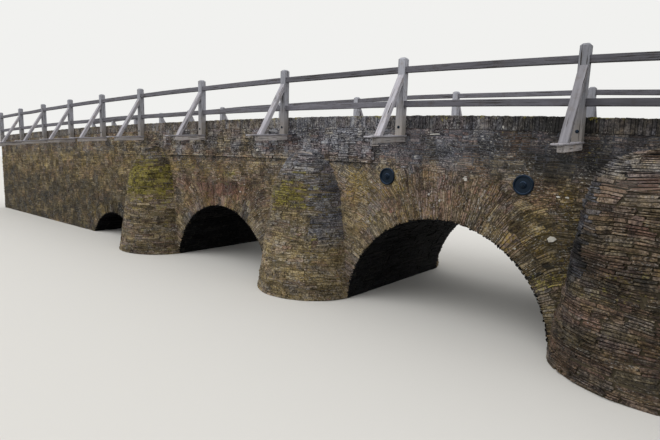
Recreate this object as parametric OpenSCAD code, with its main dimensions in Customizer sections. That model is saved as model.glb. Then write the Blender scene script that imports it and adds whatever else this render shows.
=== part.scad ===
// Stone arch bridge of four round arches, with rounded cutwaters and timber railings on raking struts.
// Sizes are millimetres. X runs along the roadway, Y across it and Z up. The origin is the middle of
// the underside of the middle pier. Front is the -Y side and left is the -X side.

/* [Roadway] */
// Width over the outer faces of the two side walls
bridge_w = 4050; // [3600:50:5000]
// Height of the coping's top over the middle pier
crown_z = 3860; // [3750:10:4300]
// Length of the bridge to the left of the middle pier's centre
left_len = 19700; // [19600:100:21500]
// Length of the bridge to the right of the middle pier's centre
right_len = 14600; // [14500:100:17000]
// Fall of the hump from the middle pier to the left end
left_fall = 460; // [100:10:600]
// Fall of the hump from the middle pier to the right end
right_fall = 790; // [100:10:900]
// Depth of the road surface below the coping's top
road_drop = 120; // [60:10:180]
// Thickness of the road surfacing
road_t = 150; // [80:10:250]

/* [Walls] */
// Thickness of each side wall and of its coping
wall_t = 450; // [400:10:600]
// Height of the stones on edge that cope the walls
coping_h = 220; // [120:10:260]
// Height to which each pier is built up solid between its arches
haunch_z = 1100; // [950:10:1250]

/* [Arches] */
// Thickness of the arch rings
ring_t = 450; // [300:10:600]
// Radius of the first arch, the small one at the left
arch_1_r = 1660; // [1600:10:1750]
// Height of the first arch's centre, which lies below the foot of the bridge
arch_1_z = -830; // [-900:10:-700]
// Radius of the second arch
arch_2_r = 1950; // [1800:10:2050]
// Height of the second arch's centre
arch_2_z = -340; // [-450:10:-250]
// Radius of the third arch, the widest
arch_3_r = 2070; // [1900:10:2150]
// Height of the third arch's centre
arch_3_z = -130; // [-250:10:-50]
// Radius of the fourth arch, the small one at the right
arch_4_r = 1660; // [1600:10:1750]
// Height of the fourth arch's centre
arch_4_z = -830; // [-900:10:-700]

/* [Piers and cutwaters] */
// Width of the first pier, between the first and second arches
pier_1_w = 2470; // [2470:10:2900]
// Width of the second pier, in the middle
pier_2_w = 2470; // [2470:10:2900]
// Width of the third pier, between the third and fourth arches
pier_3_w = 2800; // [2600:10:3100]
// Distance from the wall's face back to the cutwaters' axis
nose_set = 250; // [200:10:350]
// Radius of the first and second cutwaters at the foot
nose_foot_r = 1260; // [1100:10:1260]
// Radius of those cutwaters at the shoulder, where the caps begin
nose_shoulder_r = 960; // [850:10:1050]
// Height of their shoulders
nose_shoulder_z = 2250; // [1900:10:2400]
// Height at which their caps die into the wall
nose_top_z = 3200; // [3100:10:3300]
// Bulge of their caps, as the radius of the curve's handle
cap_bulge_r = 670; // [600:10:850]
// Height of that handle
cap_bulge_z = 3060; // [2800:10:3090]
// Distance along the wall from the third pier's corners to its cutwater's foot
nose_3_inset = 12; // [2:1:100]
// Radius of the third cutwater at the shoulder
nose_3_shoulder_r = 1110; // [1000:10:1150]
// Height of the third cutwater's shoulder
nose_3_shoulder_z = 2200; // [2000:10:2400]
// Height at which the third cutwater's cap dies into the wall
nose_3_top_z = 3300; // [3250:10:3350]
// Bulge of the third cutwater's cap, as the radius of the curve's handle
cap_3_bulge_r = 1120; // [850:10:1130]
// Height of the third cap's handle
cap_3_bulge_z = 3180; // [2900:10:3200]

/* [Railing] */
// Place of the front post beside the middle pier
first_post_x = -670; // [-900:10:-400]
// Spacing of the posts over the arches
post_bay = 3100; // [2900:10:3150]
// Place of the back post beside the middle pier
first_back_x = -1800; // [-1900:10:-1500]
// Spacing of the back posts over the arches
back_bay = 3270; // [3100:10:3300]
// Distance of the last posts from the ends of the bridge
end_post_in = 500; // [300:10:700]
// Side of the square posts
post_s = 150; // [120:5:180]
// Chamfer round the posts' tops
post_chamfer = 30; // [10:5:50]
// Height of the front posts above the coping
post_rise = 1055; // [950:5:1300]
// Height of the back posts above the coping
back_rise = 950; // [940:5:1300]
// Gap between the wall's face and the posts
post_gap = 30; // [20:5:60]
// Height of the rails
rail_h = 115; // [80:5:130]
// Thickness of the rails
rail_t = 85; // [60:5:110]
// Height of the top rail's middle above the coping
top_rail_z = 835; // [780:5:860]
// Height of the middle rail's middle above the coping
mid_rail_z = 215; // [150:5:400]
// Width of the struts along the bridge
strut_w = 130; // [80:5:150]
// Thickness of the struts, square to their rake
strut_t = 95; // [70:5:120]
// Distance from the wall's face to the middle of the strut's foot
strut_foot = 830; // [600:10:900]
// Clear height between a strut's head and the top rail
strut_head_gap = 25; // [10:5:80]
// Width of the needle beams
beam_w = 110; // [90:5:200]
// Height of the needle beams
beam_h = 105; // [90:5:200]
// Depth of the needle beams' top below the coping's top, at the wall's face
beam_drop = 385; // [340:5:450]
// Droop of the needle beams towards their outer ends, in degrees
beam_droop = 3.2; // [0:0.1:4]
// Reach of the needle beams from the wall's face
beam_reach = 950; // [940:10:1300]
// Width of the sole boards on the beams
board_w = 165; // [130:5:200]
// Thickness of the sole boards
board_t = 30; // [25:5:60]
// Reach of the sole boards from the wall's face
board_reach = 1180; // [1000:10:1500]

/* [Tie plates] */
// Radius of the round tie plates
plate_r = 168; // [120:1:200]
// Depth of the plates' rims
plate_rim_t = 45; // [30:1:60]
// Width of the plates' rims
plate_rim_w = 26; // [15:1:40]
// Depth of the dished web inside the rim
plate_web_t = 22; // [10:1:28]
// Radius of the plates' bosses
plate_boss_r = 48; // [40:1:60]
// Diameter of the tie rods
rod_d = 32; // [20:1:40]
// Width across the corners of the tie rods' nuts
nut_d = 62; // [50:1:75]
// Thickness of the tie rods' nuts
nut_t = 28; // [20:1:40]
// Height of the plates' centres
plate_z = 2680; // [2500:5:2750]
// Distance from the third arch's centre to the left plate
plate_left = 1175; // [900:5:1300]
// Distance from the third arch's centre to the right plate
plate_right = 1460; // [1200:5:1600]

/* [Hidden] */
$fn = 192;

stone = "#6f6350";
dark_stone = "#4f4a42";
timber = "#8d8778";
iron = "#20262e";
tarmac = "#55534f";

// The slack that a cutting shape has past the shape it cuts
over = 50;
// Spacing of the stations that the humped top is drawn through
station = 1000;
front = -1;
back = 1;
half_w = bridge_w / 2;
left_x = -left_len;
right_x = right_len;
fill_w = bridge_w - 2 * wall_t;

// Half the width of an arch at the foot of the bridge
function foot_half(r, z) = z < 0 ? sqrt(r * r - z * z) : r;

arch_2_x = -pier_2_w / 2 - foot_half(arch_2_r, arch_2_z);
arch_3_x = pier_2_w / 2 + foot_half(arch_3_r, arch_3_z);
pier_1_x = arch_2_x - foot_half(arch_2_r, arch_2_z) - pier_1_w / 2;
pier_3_x = arch_3_x + foot_half(arch_3_r, arch_3_z) + pier_3_w / 2;
arch_1_x = pier_1_x - pier_1_w / 2 - foot_half(arch_1_r, arch_1_z);
arch_4_x = pier_3_x + pier_3_w / 2 + foot_half(arch_4_r, arch_4_z);

// Each arch is its centre's x, its centre's z and its radius
ARCHES = [
    [arch_1_x, arch_1_z, arch_1_r],
    [arch_2_x, arch_2_z, arch_2_r],
    [arch_3_x, arch_3_z, arch_3_r],
    [arch_4_x, arch_4_z, arch_4_r]
];

// The hump is a parabola on each side of the middle pier
function hump(x) = crown_z - (x < 0 ? left_fall * pow(x / left_len, 2) : right_fall * pow(x / right_len, 2));

// The coping's top, drawn straight from station to station so that all pieces share one line
function top_z(x) =
    let (a = floor(x / station) * station, b = a + station)
    hump(a) + (hump(b) - hump(a)) * (x - a) / station;

// The stations between two places, with both places
function stations(x0, x1) = concat(
    [x0],
    [for (i = [floor(x0 / station) + 1 : ceil(x1 / station) - 1]) i * station],
    [x1]
);

// Seven posts over the arches, and six more in even bays on the approaches, from left to right
function post_line(first, bay) =
    let (
        inner = [for (i = [-2 : 4]) first + i * bay],
        end_x = left_x + end_post_in,
        approach_bay = (inner[0] - end_x) / 5
    )
    concat(
        [for (i = [0 : 4]) end_x + i * approach_bay],
        inner,
        [right_x - end_post_in]
    );

FRONT_POSTS = post_line(first_post_x, post_bay);
BACK_POSTS = post_line(first_back_x, back_bay);
LAST = len(FRONT_POSTS) - 1;

function posts_of(side) = side == front ? FRONT_POSTS : BACK_POSTS;

// Pushes an outline drawn in X and Z through from one Y to the other
module slab(y0, y1) {
    translate([0, y1, 0])
        rotate([90, 0, 0])
            linear_extrude(y1 - y0)
                children();
}

// The outline under the humped top, less a drop, and above a floor
module under_top(x0, x1, drop, floor_z = 0) {
    polygon(concat(
        [for (x = stations(x0, x1)) [x, top_z(x) - drop]],
        [[x1, floor_z], [x0, floor_z]]
    ));
}

// The outline of an arch out to a radius, above its springing or the foot of the bridge
module arch_disc(a, r) {
    intersection() {
        translate([a[0], a[1]])
            circle(r);
        translate([a[0] - r - over, max(a[1], 0)])
            square([2 * (r + over), r + a[1] + over]);
    }
}

// The outlines of all arches with their rings
module all_discs() {
    for (a = ARCHES)
        arch_disc(a, a[2] + ring_t);
}

// Everything of the railing is drawn for the front and mirrored for the back
module on_side(side) {
    mirror([0, side == back ? 1 : 0, 0])
        children();
}

// Pushes an outline through along X, drawn in the distance out from the bridge's middle and in Z
module crosswise(x, w) {
    translate([x + w / 2, 0, 0])
        rotate([90, 0, -90])
            linear_extrude(w)
                children();
}

// Heights of the needle beams' and the sole boards' tops, at a distance out from the wall's face
function beam_top(x, out) = top_z(x) - beam_drop - out * tan(beam_droop);
function board_top(x, out) = beam_top(x, out) + board_t;

// The outline of a timber that droops with the beams, from one distance out to another, and between
// two heights above the beams' top
module drooped(x, near, far, low, high) {
    polygon([
        [half_w + near, beam_top(x, near) + low],
        [half_w + far, beam_top(x, far) + low],
        [half_w + far, beam_top(x, far) + high],
        [half_w + near, beam_top(x, near) + high]
    ]);
}

// The pockets that the needle beams sit in, on one side
module beam_pockets(side) {
    on_side(side)
        for (x = posts_of(side))
            crosswise(x, beam_w)
                drooped(x, -wall_t, over, -beam_h, 0);
}

module arch_ring(a) {
    color(stone)
        slab(-half_w, half_w)
            difference() {
                arch_disc(a, a[2] + ring_t);
                translate([a[0], a[1]])
                    circle(a[2]);
            }
}

// The solid masonry between two neighbouring arch rings, up to the haunches
module pier(i) {
    x0 = ARCHES[i][0];
    color(stone)
        slab(-half_w, half_w)
            difference() {
                translate([x0, 0])
                    square([ARCHES[i + 1][0] - x0, haunch_z]);
                all_discs();
            }
}

// One side wall between the crowns of two neighbouring arches
module spandrel(i, side) {
    y0 = side == front ? -half_w : half_w - wall_t;
    color(stone)
        difference() {
            slab(y0, y0 + wall_t)
                difference() {
                    under_top(ARCHES[i][0], ARCHES[i + 1][0], coping_h, haunch_z);
                    all_discs();
                }
            beam_pockets(side);
        }
}

module rubble_fill() {
    color(dark_stone)
        slab(-fill_w / 2, fill_w / 2)
            difference() {
                under_top(arch_1_x, arch_4_x, road_drop + road_t, haunch_z);
                all_discs();
            }
}

// The mass of masonry behind an outer arch, which carries the road and the copings
module abutment(x0, x1) {
    color(stone)
        difference() {
            union() {
                slab(-half_w, -half_w + wall_t)
                    under_top(x0, x1, coping_h);
                slab(-fill_w / 2, fill_w / 2)
                    under_top(x0, x1, road_drop + road_t);
                slab(half_w - wall_t, half_w)
                    under_top(x0, x1, coping_h);
            }
            slab(-half_w - over, half_w + over)
                all_discs();
            beam_pockets(front);
            beam_pockets(back);
        }
}

module road_surface() {
    color(tarmac)
        slab(-fill_w / 2, fill_w / 2)
            difference() {
                under_top(left_x, right_x, road_drop);
                under_top(left_x, right_x, road_drop + road_t);
            }
}

module coping(side) {
    y0 = side == front ? -half_w : half_w - wall_t;
    color(dark_stone)
        slab(y0, y0 + wall_t)
            difference() {
                under_top(left_x, right_x, 0);
                under_top(left_x, right_x, coping_h);
            }
}

// A cutwater's form is its foot, its shoulder, the handle of its cap's curve and its cap's top, each as
// a radius and a height. The third cutwater fills its wider pier and has the fuller cap
nose_3_foot_r = norm([pier_3_w / 2 - nose_3_inset, nose_set]);
NOSE = [
    [nose_foot_r, 0],
    [nose_shoulder_r, nose_shoulder_z],
    [cap_bulge_r, cap_bulge_z],
    [nose_set, nose_top_z]
];
NOSE_3 = [
    [nose_3_foot_r, 0],
    [nose_3_shoulder_r, nose_3_shoulder_z],
    [cap_3_bulge_r, cap_3_bulge_z],
    [nose_set, nose_3_top_z]
];

// A point on the curve of a cap, from the shoulder to where it dies into the wall
function cap_point(form, t) =
    pow(1 - t, 2) * form[1]
    + 2 * t * (1 - t) * form[2]
    + pow(t, 2) * form[3];

// A battered round nose with a domed cap, cut off at the wall's face
module cutwater(x, form, side) {
    steps = 8;
    foot_r = form[0][0];
    top = form[3][1];
    profile = concat(
        [[0, 0], form[0]],
        [for (i = [0 : steps]) cap_point(form, i / steps)],
        [[0, top]]
    );
    color(stone)
        intersection() {
            translate([x, side * (half_w - nose_set), 0])
                rotate_extrude()
                    polygon(profile);
            translate([x - 2 * foot_r, side == front ? -half_w - 2 * foot_r : half_w, -over])
                cube([4 * foot_r, 2 * foot_r, top + 2 * over]);
        }
}

post_y = -half_w - post_gap - post_s;

module needle_beams(side) {
    color(timber)
        on_side(side)
            for (x = posts_of(side))
                crosswise(x, beam_w)
                    drooped(x, -wall_t, beam_reach, -beam_h, 0);
}

module sole_boards(side) {
    color(timber)
        on_side(side)
            for (x = posts_of(side))
                crosswise(x, board_w)
                    drooped(x, 0, board_reach, 0, board_t);
}

// The outline of a post from one side, with its top chamfered and its foot cut from one height to another
module post_outline(h, left_foot, right_foot) {
    polygon([
        [-post_s / 2, left_foot],
        [post_s / 2, right_foot],
        [post_s / 2, h - post_chamfer],
        [post_s / 2 - post_chamfer, h],
        [-post_s / 2 + post_chamfer, h],
        [-post_s / 2, h - post_chamfer]
    ]);
}

// Each post is the part that two such outlines share, one seen from the front and one from the end
module posts(side) {
    rise = side == front ? post_rise : back_rise;
    foot_fall = post_s / 2 * tan(beam_droop);
    color(timber)
        on_side(side)
            for (x = posts_of(side)) {
                foot_z = board_top(x, post_gap + post_s / 2);
                h = top_z(x) + rise - foot_z;
                translate([x, post_y + post_s / 2, foot_z])
                    intersection() {
                        slab(-post_s / 2, post_s / 2)
                            post_outline(h, -foot_fall, -foot_fall);
                        rotate([0, 0, 90])
                            slab(-post_s / 2, post_s / 2)
                                post_outline(h, -foot_fall, foot_fall);
                    }
            }
}

// A strut's outline across the bridge: its foot is cut to the board and its head is cut upright
module struts(side) {
    color(timber)
        on_side(side)
            for (x = posts_of(side)) {
                head_z = top_z(x) + top_rail_z - rail_h / 2 - strut_head_gap;
                rake = atan2(strut_foot - post_gap - post_s, head_z - board_top(x, strut_foot));
                foot_far = strut_foot + strut_t / cos(rake) / 2;
                foot_near = strut_foot - strut_t / cos(rake) / 2;
                crosswise(x, strut_w)
                    polygon([
                        [half_w + foot_far, board_top(x, foot_far)],
                        [half_w + foot_near, board_top(x, foot_near)],
                        [-post_y, head_z - strut_t / sin(rake)],
                        [-post_y, head_z]
                    ]);
            }
}

// Rails that run from post to post at one height above the coping
module rails(side, z) {
    xs = posts_of(side);
    y0 = post_y + (post_s - rail_t) / 2;
    color(timber)
        on_side(side)
            slab(y0, y0 + rail_t)
                for (i = [0 : LAST - 1]) {
                    x0 = xs[i] + post_s / 2;
                    x1 = xs[i + 1] - post_s / 2;
                    z0 = top_z(x0) + z - rail_h / 2;
                    z1 = top_z(x1) + z - rail_h / 2;
                    polygon([[x0, z0], [x1, z1], [x1, z1 + rail_h], [x0, z0 + rail_h]]);
                }
}

PLATES = [arch_3_x - plate_left, arch_3_x + plate_right];

// A dished round plate with a rim, a web that slopes up to the boss, and a hole for the rod
module tie_plates(side) {
    color(iron)
        on_side(side)
            for (x = PLATES)
                translate([x, -half_w, plate_z])
                    rotate([90, 0, 0])
                        rotate_extrude()
                            polygon([
                                [rod_d / 2, 0],
                                [plate_r, 0],
                                [plate_r, plate_rim_t * 0.7],
                                [plate_r - plate_rim_w * 0.3, plate_rim_t],
                                [plate_r - plate_rim_w, plate_rim_t],
                                [plate_r - plate_rim_w * 1.4, plate_web_t],
                                [plate_boss_r * 1.3, plate_web_t * 1.1],
                                [plate_boss_r, plate_rim_t],
                                [rod_d / 2, plate_rim_t]
                            ]);
}

// The end of each tie rod, with a six-sided nut down on the plate's boss
module tie_nuts(side) {
    rod_end = plate_rim_t + nut_t * 1.5;
    color(iron)
        on_side(side)
            for (x = PLATES)
                translate([x, -half_w, plate_z])
                    rotate([90, 0, 0]) {
                        cylinder(d = rod_d, h = rod_end);
                        translate([0, 0, plate_rim_t])
                            cylinder(d = nut_d, h = nut_t, $fn = 6);
                    }
}

pier(0);  // pier_1
pier(1);  // pier_2
pier(2);  // pier_3
abutment(left_x, arch_1_x);  // abutment_left
abutment(arch_4_x, right_x);  // abutment_right
arch_ring(ARCHES[0]);  // arch_ring_1
arch_ring(ARCHES[1]);  // arch_ring_2
arch_ring(ARCHES[2]);  // arch_ring_3
arch_ring(ARCHES[3]);  // arch_ring_4
spandrel(0, front);  // spandrel_front_1
spandrel(1, front);  // spandrel_front_2
spandrel(2, front);  // spandrel_front_3
spandrel(0, back);  // spandrel_back_1
spandrel(1, back);  // spandrel_back_2
spandrel(2, back);  // spandrel_back_3
rubble_fill();
road_surface();
coping(front);  // coping_front
coping(back);  // coping_back
cutwater(pier_1_x, NOSE, front);  // cutwater_front_1
cutwater(0, NOSE, front);  // cutwater_front_2
cutwater(pier_3_x, NOSE_3, front);  // cutwater_front_3
cutwater(pier_1_x, NOSE, back);  // cutwater_back_1
cutwater(0, NOSE, back);  // cutwater_back_2
cutwater(pier_3_x, NOSE_3, back);  // cutwater_back_3
needle_beams(front);  // needle_beams_front
needle_beams(back);  // needle_beams_back
sole_boards(front);  // sole_boards_front
sole_boards(back);  // sole_boards_back
posts(front);  // posts_front
posts(back);  // posts_back
struts(front);  // struts_front
struts(back);  // struts_back
rails(front, top_rail_z);  // top_rails_front
rails(back, top_rail_z);  // top_rails_back
rails(front, mid_rail_z);  // mid_rails_front
rails(back, mid_rail_z);  // mid_rails_back
tie_plates(front);  // tie_plates_front
tie_plates(back);  // tie_plates_back
tie_nuts(front);  // tie_nuts_front
tie_nuts(back);  // tie_nuts_back
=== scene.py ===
"""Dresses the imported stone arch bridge: hand-laid rubble, weathered timber railings, iron tie plates and a studio."""

import math

import bmesh
import bpy
import numpy as np
from mathutils import Matrix, Vector


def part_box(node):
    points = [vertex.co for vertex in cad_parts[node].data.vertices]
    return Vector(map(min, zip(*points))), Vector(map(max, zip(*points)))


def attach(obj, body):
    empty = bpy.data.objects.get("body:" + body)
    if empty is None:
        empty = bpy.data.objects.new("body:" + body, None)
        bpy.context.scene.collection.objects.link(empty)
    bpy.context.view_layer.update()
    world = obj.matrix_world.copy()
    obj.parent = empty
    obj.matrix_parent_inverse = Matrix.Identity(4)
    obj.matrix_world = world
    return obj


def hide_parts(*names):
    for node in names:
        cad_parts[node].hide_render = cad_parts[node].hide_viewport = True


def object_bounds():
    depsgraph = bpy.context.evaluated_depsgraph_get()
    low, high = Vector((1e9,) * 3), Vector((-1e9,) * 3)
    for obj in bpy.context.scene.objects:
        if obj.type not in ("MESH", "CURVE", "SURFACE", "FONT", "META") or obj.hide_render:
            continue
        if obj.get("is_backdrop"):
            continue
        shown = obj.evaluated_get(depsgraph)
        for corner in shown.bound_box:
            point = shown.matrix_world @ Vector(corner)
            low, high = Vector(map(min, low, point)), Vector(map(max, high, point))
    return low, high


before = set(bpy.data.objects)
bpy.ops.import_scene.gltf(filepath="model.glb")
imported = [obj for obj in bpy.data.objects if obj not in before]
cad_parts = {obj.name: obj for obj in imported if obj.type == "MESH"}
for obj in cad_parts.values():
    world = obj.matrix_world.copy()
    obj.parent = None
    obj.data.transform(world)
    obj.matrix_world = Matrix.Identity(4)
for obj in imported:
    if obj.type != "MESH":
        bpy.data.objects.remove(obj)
CAD_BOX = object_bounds()

bl_info = {
    "name": "Stone Arch Bridge Dressing",
    "version": (1, 0, 0),
    "blender": (4, 5, 0),
    "location": "View3D > Sidebar > Bridge",
    "description": "Lays rubble stones on the bridge and makes its timber, iron, road and studio",
    "category": "Object",
}

SIDES = {"front": -1.0, "back": 1.0}

# Lengths in metres that the stones share
RING_T = 0.45  # thickness of the CAD arch rings
NOSE_SET = 0.25  # how far a cutwater's upright axis stands behind the wall's face
NOSE_REACH = 1.7  # how far to either side of its axis a cutwater's stones can lie
LEDGE = 0.70  # depth of the ledge in the long walls under the coping
LEDGE_END = 1.86  # X of the upright joint where the ledge ends
FAN_RING = 0.42  # height of the ring of stones on edge over an outer arch
SUNK = 0.028  # how deep a flat wall's stones sit in their mortar
END_INSET = 0.03  # how far the mortar of the bridge's two ends is drawn in under their stones
GROUND = 0.004  # lowest height of a stone in the arches, cutwaters and ends

CORNERS = 6  # corners of a rubble stone's outline
ROUND = 16  # points round a timber
VALUES = ("tone", "warm", "rose", "ochre", "moss", "damp_and_shade", "pale", "edge")

# First numbers of the random draws, for the front or left and for the back or right
SEEDS = {
    "walls": (100, 101),
    "soffits": (300, 300),
    "cutwaters": (400, 401),
    "copings": (501, 502),
    "ends": (601, 602),
    "posts": (701, 702),
    "struts": (711, 712),
    "top_rails": (994, 744),
    "mid_rails": (1160, 735),
    "needle_beams": (731, 732),
    "sole_boards": (741, 742),
}


def draws(kind, side, further=0):
    """The random draws of one piece, by its kind, its side and its place among its like."""
    return np.random.default_rng(SEEDS[kind][side > 0] + further)


def linear(code):
    """Turns an sRGB hex colour into linear red, green and blue."""
    parts = [int(code[i : i + 2], 16) / 255 for i in (1, 3, 5)]
    return [c / 12.92 if c <= 0.04045 else ((c + 0.055) / 1.055) ** 2.4 for c in parts]


# ---------------------------------------------------------------- measures taken from the CAD nodes


def points(node):
    """The corner points of a CAD node's mesh, one row each."""
    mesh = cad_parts[node].data
    flat = np.empty(len(mesh.vertices) * 3, dtype=np.float64)
    mesh.vertices.foreach_get("co", flat)
    return flat.reshape(-1, 3)


def runs(node, edges):
    """The first and last X of each solid in a node, whose solids each have this many distinct X values."""
    xs = np.unique(points(node)[:, 0].round(4))
    return xs.reshape(-1, edges)[:, [0, -1]]


def heights(node, x):
    """The lowest and highest Z of a node's points at one X."""
    co = points(node)
    z = co[np.abs(co[:, 0] - x) < 1e-3, 2]
    return z.min(), z.max()


def tips(node, x, side):
    """Middle and height of the outer and the inner end of a timber that lies across the bridge, as Y, Z and height."""
    co = points(node)
    co = co[np.abs(co[:, 0] - x) < 1e-3]
    reach = co[:, 1] * side
    found = []
    for end in (co[reach > reach.max() - 1e-3], co[reach < reach.min() + 1e-3]):
        found.append((end[:, 1].mean(), (end[:, 2].min() + end[:, 2].max()) / 2, np.ptp(end[:, 2])))
    return found


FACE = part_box("pier_2")[1].y
LEFT, RIGHT = CAD_BOX[0].x, CAD_BOX[1].x
_top = points("coping_front")
TOP_X = np.unique(_top[:, 0].round(4))
TOP_Z = np.array([_top[np.abs(_top[:, 0] - x) < 1e-3, 2].max() for x in TOP_X])
COPING_H = TOP_Z[0] - _top[np.abs(_top[:, 0] - TOP_X[0]) < 1e-3, 2].min()
WALL_T = float(np.ptp(_top[:, 1]))
_out, _in = tips("needle_beams_front", runs("needle_beams_front", 2)[0, 0], -1.0)
DROOP = (_in[1] - _out[1]) / abs(_in[0] - _out[0])


def top_line(x):
    """Height of the coping's top at each X."""
    return np.interp(x, TOP_X, TOP_Z)


def arch_circle(number):
    """Centre X, centre Z and radius of an arch, from its ring's height and its half width at the foot."""
    lo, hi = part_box(f"arch_ring_{number}")
    half = (hi.x - lo.x) / 2
    outer = (hi.z + half * half / hi.z) / 2
    return (lo.x + hi.x) / 2, hi.z - outer, outer - RING_T


ARCHES = [arch_circle(n) for n in (1, 2, 3, 4)]
NOSES = [sum(corner.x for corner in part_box(f"cutwater_front_{n}")) / 2 for n in (1, 2, 3)]


def nose_profile(number):
    """Radius of a cutwater at each height, taken from the widest points of its CAD node at that height."""
    co = points(f"cutwater_front_{number}")
    r = np.hypot(co[:, 0] - NOSES[number - 1], co[:, 1] + FACE - NOSE_SET)
    z = np.unique(co[:, 2].round(3))
    radius = np.array([r[np.abs(co[:, 2] - h) < 2e-3].max() for h in z])
    return z, np.maximum.accumulate(radius[::-1])[::-1]


PROFILES = [nose_profile(n) for n in (1, 2, 3)]


def plate_centres():
    """Centre X and Z of each tie plate, from the gap between the two plates' points."""
    co = points("tie_plates_front")
    split = (co[:, 0].min() + co[:, 0].max()) / 2
    halves = [co[co[:, 0] < split], co[co[:, 0] > split]]
    return [((h[:, 0].min() + h[:, 0].max()) / 2, (h[:, 2].min() + h[:, 2].max()) / 2) for h in halves]


PLATES = plate_centres()
PLATE_R = float(np.ptp(points("tie_plates_front")[:, 2])) / 2


# ---------------------------------------------------------------- sizes and colours that a user may change


def swatch(name, description, code):
    """A colour property with an sRGB hex default."""
    return bpy.props.FloatVectorProperty(
        name=name, description=description, subtype="COLOR", size=3, min=0.0, max=1.0, default=linear(code)
    )


def length(name, description, default):
    """A length property in metres."""
    return bpy.props.FloatProperty(name=name, description=description, default=default, min=0.0, unit="LENGTH")


class BridgeMasonry(bpy.types.PropertyGroup):
    """Sizes of the rubble stones."""

    thickness: length("Stone thickness", "Usual thickness of a rubble stone", 0.045)
    stone_length: length("Stone length", "Usual length of a rubble stone", 0.20)
    joint: length("Joint", "Half the gap left between two stones", 0.0022)
    proud: length("Proud", "How far the stones stand out of their mortar bed", 0.010)
    coping_thickness: length("Coping stone", "Usual thickness of a coping stone on edge", 0.060)


class BridgeStoneColours(bpy.types.PropertyGroup):
    """Colours of the stone and of what grows on it."""

    cold_dark: swatch("Cold dark", "Darkest of the grey stones", "#2e2e33")
    cold: swatch("Cold", "Usual colour of the grey stones", "#73747e")
    cold_light: swatch("Cold light", "Palest of the grey stones", "#b0b1b6")
    warm_dark: swatch("Warm dark", "Darkest of the brown stones", "#352e22")
    warm: swatch("Warm", "Usual colour of the brown stones", "#7d6e50")
    warm_light: swatch("Warm light", "Palest of the brown stones", "#b8a67f")
    ochre: swatch("Ochre", "Yellow bloom on the haunches", "#a48a3e")
    moss: swatch("Moss", "Moss on ledges and caps", "#898038")
    lichen: swatch("Lichen", "Pale crusts of lichen", "#c4c2bb")
    rose: swatch("Ironstone", "Usual colour of the purple-brown stones", "#6b5046")
    mortar: swatch("Mortar", "Recessed lime mortar", "#5c523c")
    mortar_cold: swatch("Cold mortar", "Recessed lime mortar under the coping", "#595a60")


class BridgeTimber(bpy.types.PropertyGroup):
    """Colours and wear of the weathered timber."""

    silver: swatch("Silver", "Sun-bleached face of the struts", "#9c9aa0")
    post: swatch("Post", "Cool grey of the posts", "#919299")
    rail: swatch("Rail", "Dark grey of the rails", "#605f66")
    beam: swatch("Beam", "Grey brown of the needle beams", "#b4afae")
    crack: swatch("Crack", "Shade inside the cracks and between the fibres", "#2b2622")
    wear: length("Wear", "How far the edges have worn away", 0.004)


class BridgeIron(bpy.types.PropertyGroup):
    """Colours of the painted iron."""

    paint: swatch("Paint", "Old blue-black paint", "#041828")
    rust: swatch("Rust", "Rust where the paint has gone", "#4a3326")
    # painted highlight: a pale blue laid where the iron faces up, as if lit by the sky
    painted_highlight: swatch("Dust", "Dust that lies where the iron faces up", "#3c4c62")


class BridgeRoad(bpy.types.PropertyGroup):
    """Colours of the road."""

    dark: swatch("Dark tarmac", "Darker patches of the tarmac", "#545250")
    pale: swatch("Pale tarmac", "Paler patches of the tarmac", "#67645e")
    track: swatch("Wheel track", "Tarmac polished by wheels", "#7d7a75")
    verge: swatch("Verge", "Dust and dirt against the walls", "#4a4130")


class BridgeStage(bpy.types.PropertyGroup):
    """The studio and its camera."""

    floor: swatch("Floor", "Plain pale floor", "#dad8d3")
    sky: swatch("Backdrop", "Plain pale backdrop", "#f1f1ef")
    light: bpy.props.FloatProperty(
        name="Light", description="Strength of the soft light all round", default=0.95, min=0.0
    )
    sun: bpy.props.FloatProperty(name="Sun", description="Strength of the soft sun", default=0.9, min=0.0)
    lens: bpy.props.FloatProperty(
        name="Lens", description="Focal length in millimetres on a 36 mm sensor", default=26.77, min=1.0
    )
    station: bpy.props.FloatVectorProperty(
        name="Camera place",
        description="Where the camera stands",
        subtype="TRANSLATION",
        unit="LENGTH",
        size=3,
        default=(7.44, -10.233, 3.123),
    )
    aim: bpy.props.FloatVectorProperty(
        name="Camera turn",
        description="Turn to the left, tilt down and roll",
        subtype="EULER",
        unit="ROTATION",
        size=3,
        default=(math.radians(39.45), math.radians(7.90), math.radians(1.716)),
    )


# ---------------------------------------------------------------- small helpers for pieces and materials


def smooth(t):
    """Rises from 0 to 1 as t does, level at both ends."""
    t = np.clip(t, 0.0, 1.0)
    return t * t * (3 - 2 * t)


def ripple(x, z, size, seed):
    """A smooth wandering value of about -1 to 1: the sum of six plane waves of about this size in random directions,
    over 2.6."""
    rng = np.random.default_rng(seed)
    turn, phase = rng.uniform(0, math.tau, (2, 6))
    stretch = rng.uniform(0.6, 1.5, 6) * math.tau / size
    wave = [np.sin(stretch[i] * (x * math.cos(turn[i]) + z * math.sin(turn[i])) + phase[i]) for i in range(6)]
    return np.sum(wave, axis=0) / 2.6


def blob(x, z, cx, cz, rx, rz):
    """A soft round spot: 1 in the middle, and fading to 0 past the two half sizes."""
    return np.exp(-(((x - cx) / rx) ** 2) - ((z - cz) / rz) ** 2)


def tube(rings, around):
    """Faces of four corners that join rings of this many points, one ring to the next."""
    rows = np.arange(rings - 1)[:, None] * around
    k = np.arange(around)
    m = (k + 1) % around
    return np.stack([rows + k, rows + m, rows + around + m, rows + around + k], axis=-1).reshape(-1, 4)


def parted(low, span, widths):
    """The edges that part a run of this span in these shares, from low on."""
    return low + np.concatenate([[0], np.cumsum(widths)]) / widths.sum() * span


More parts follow.
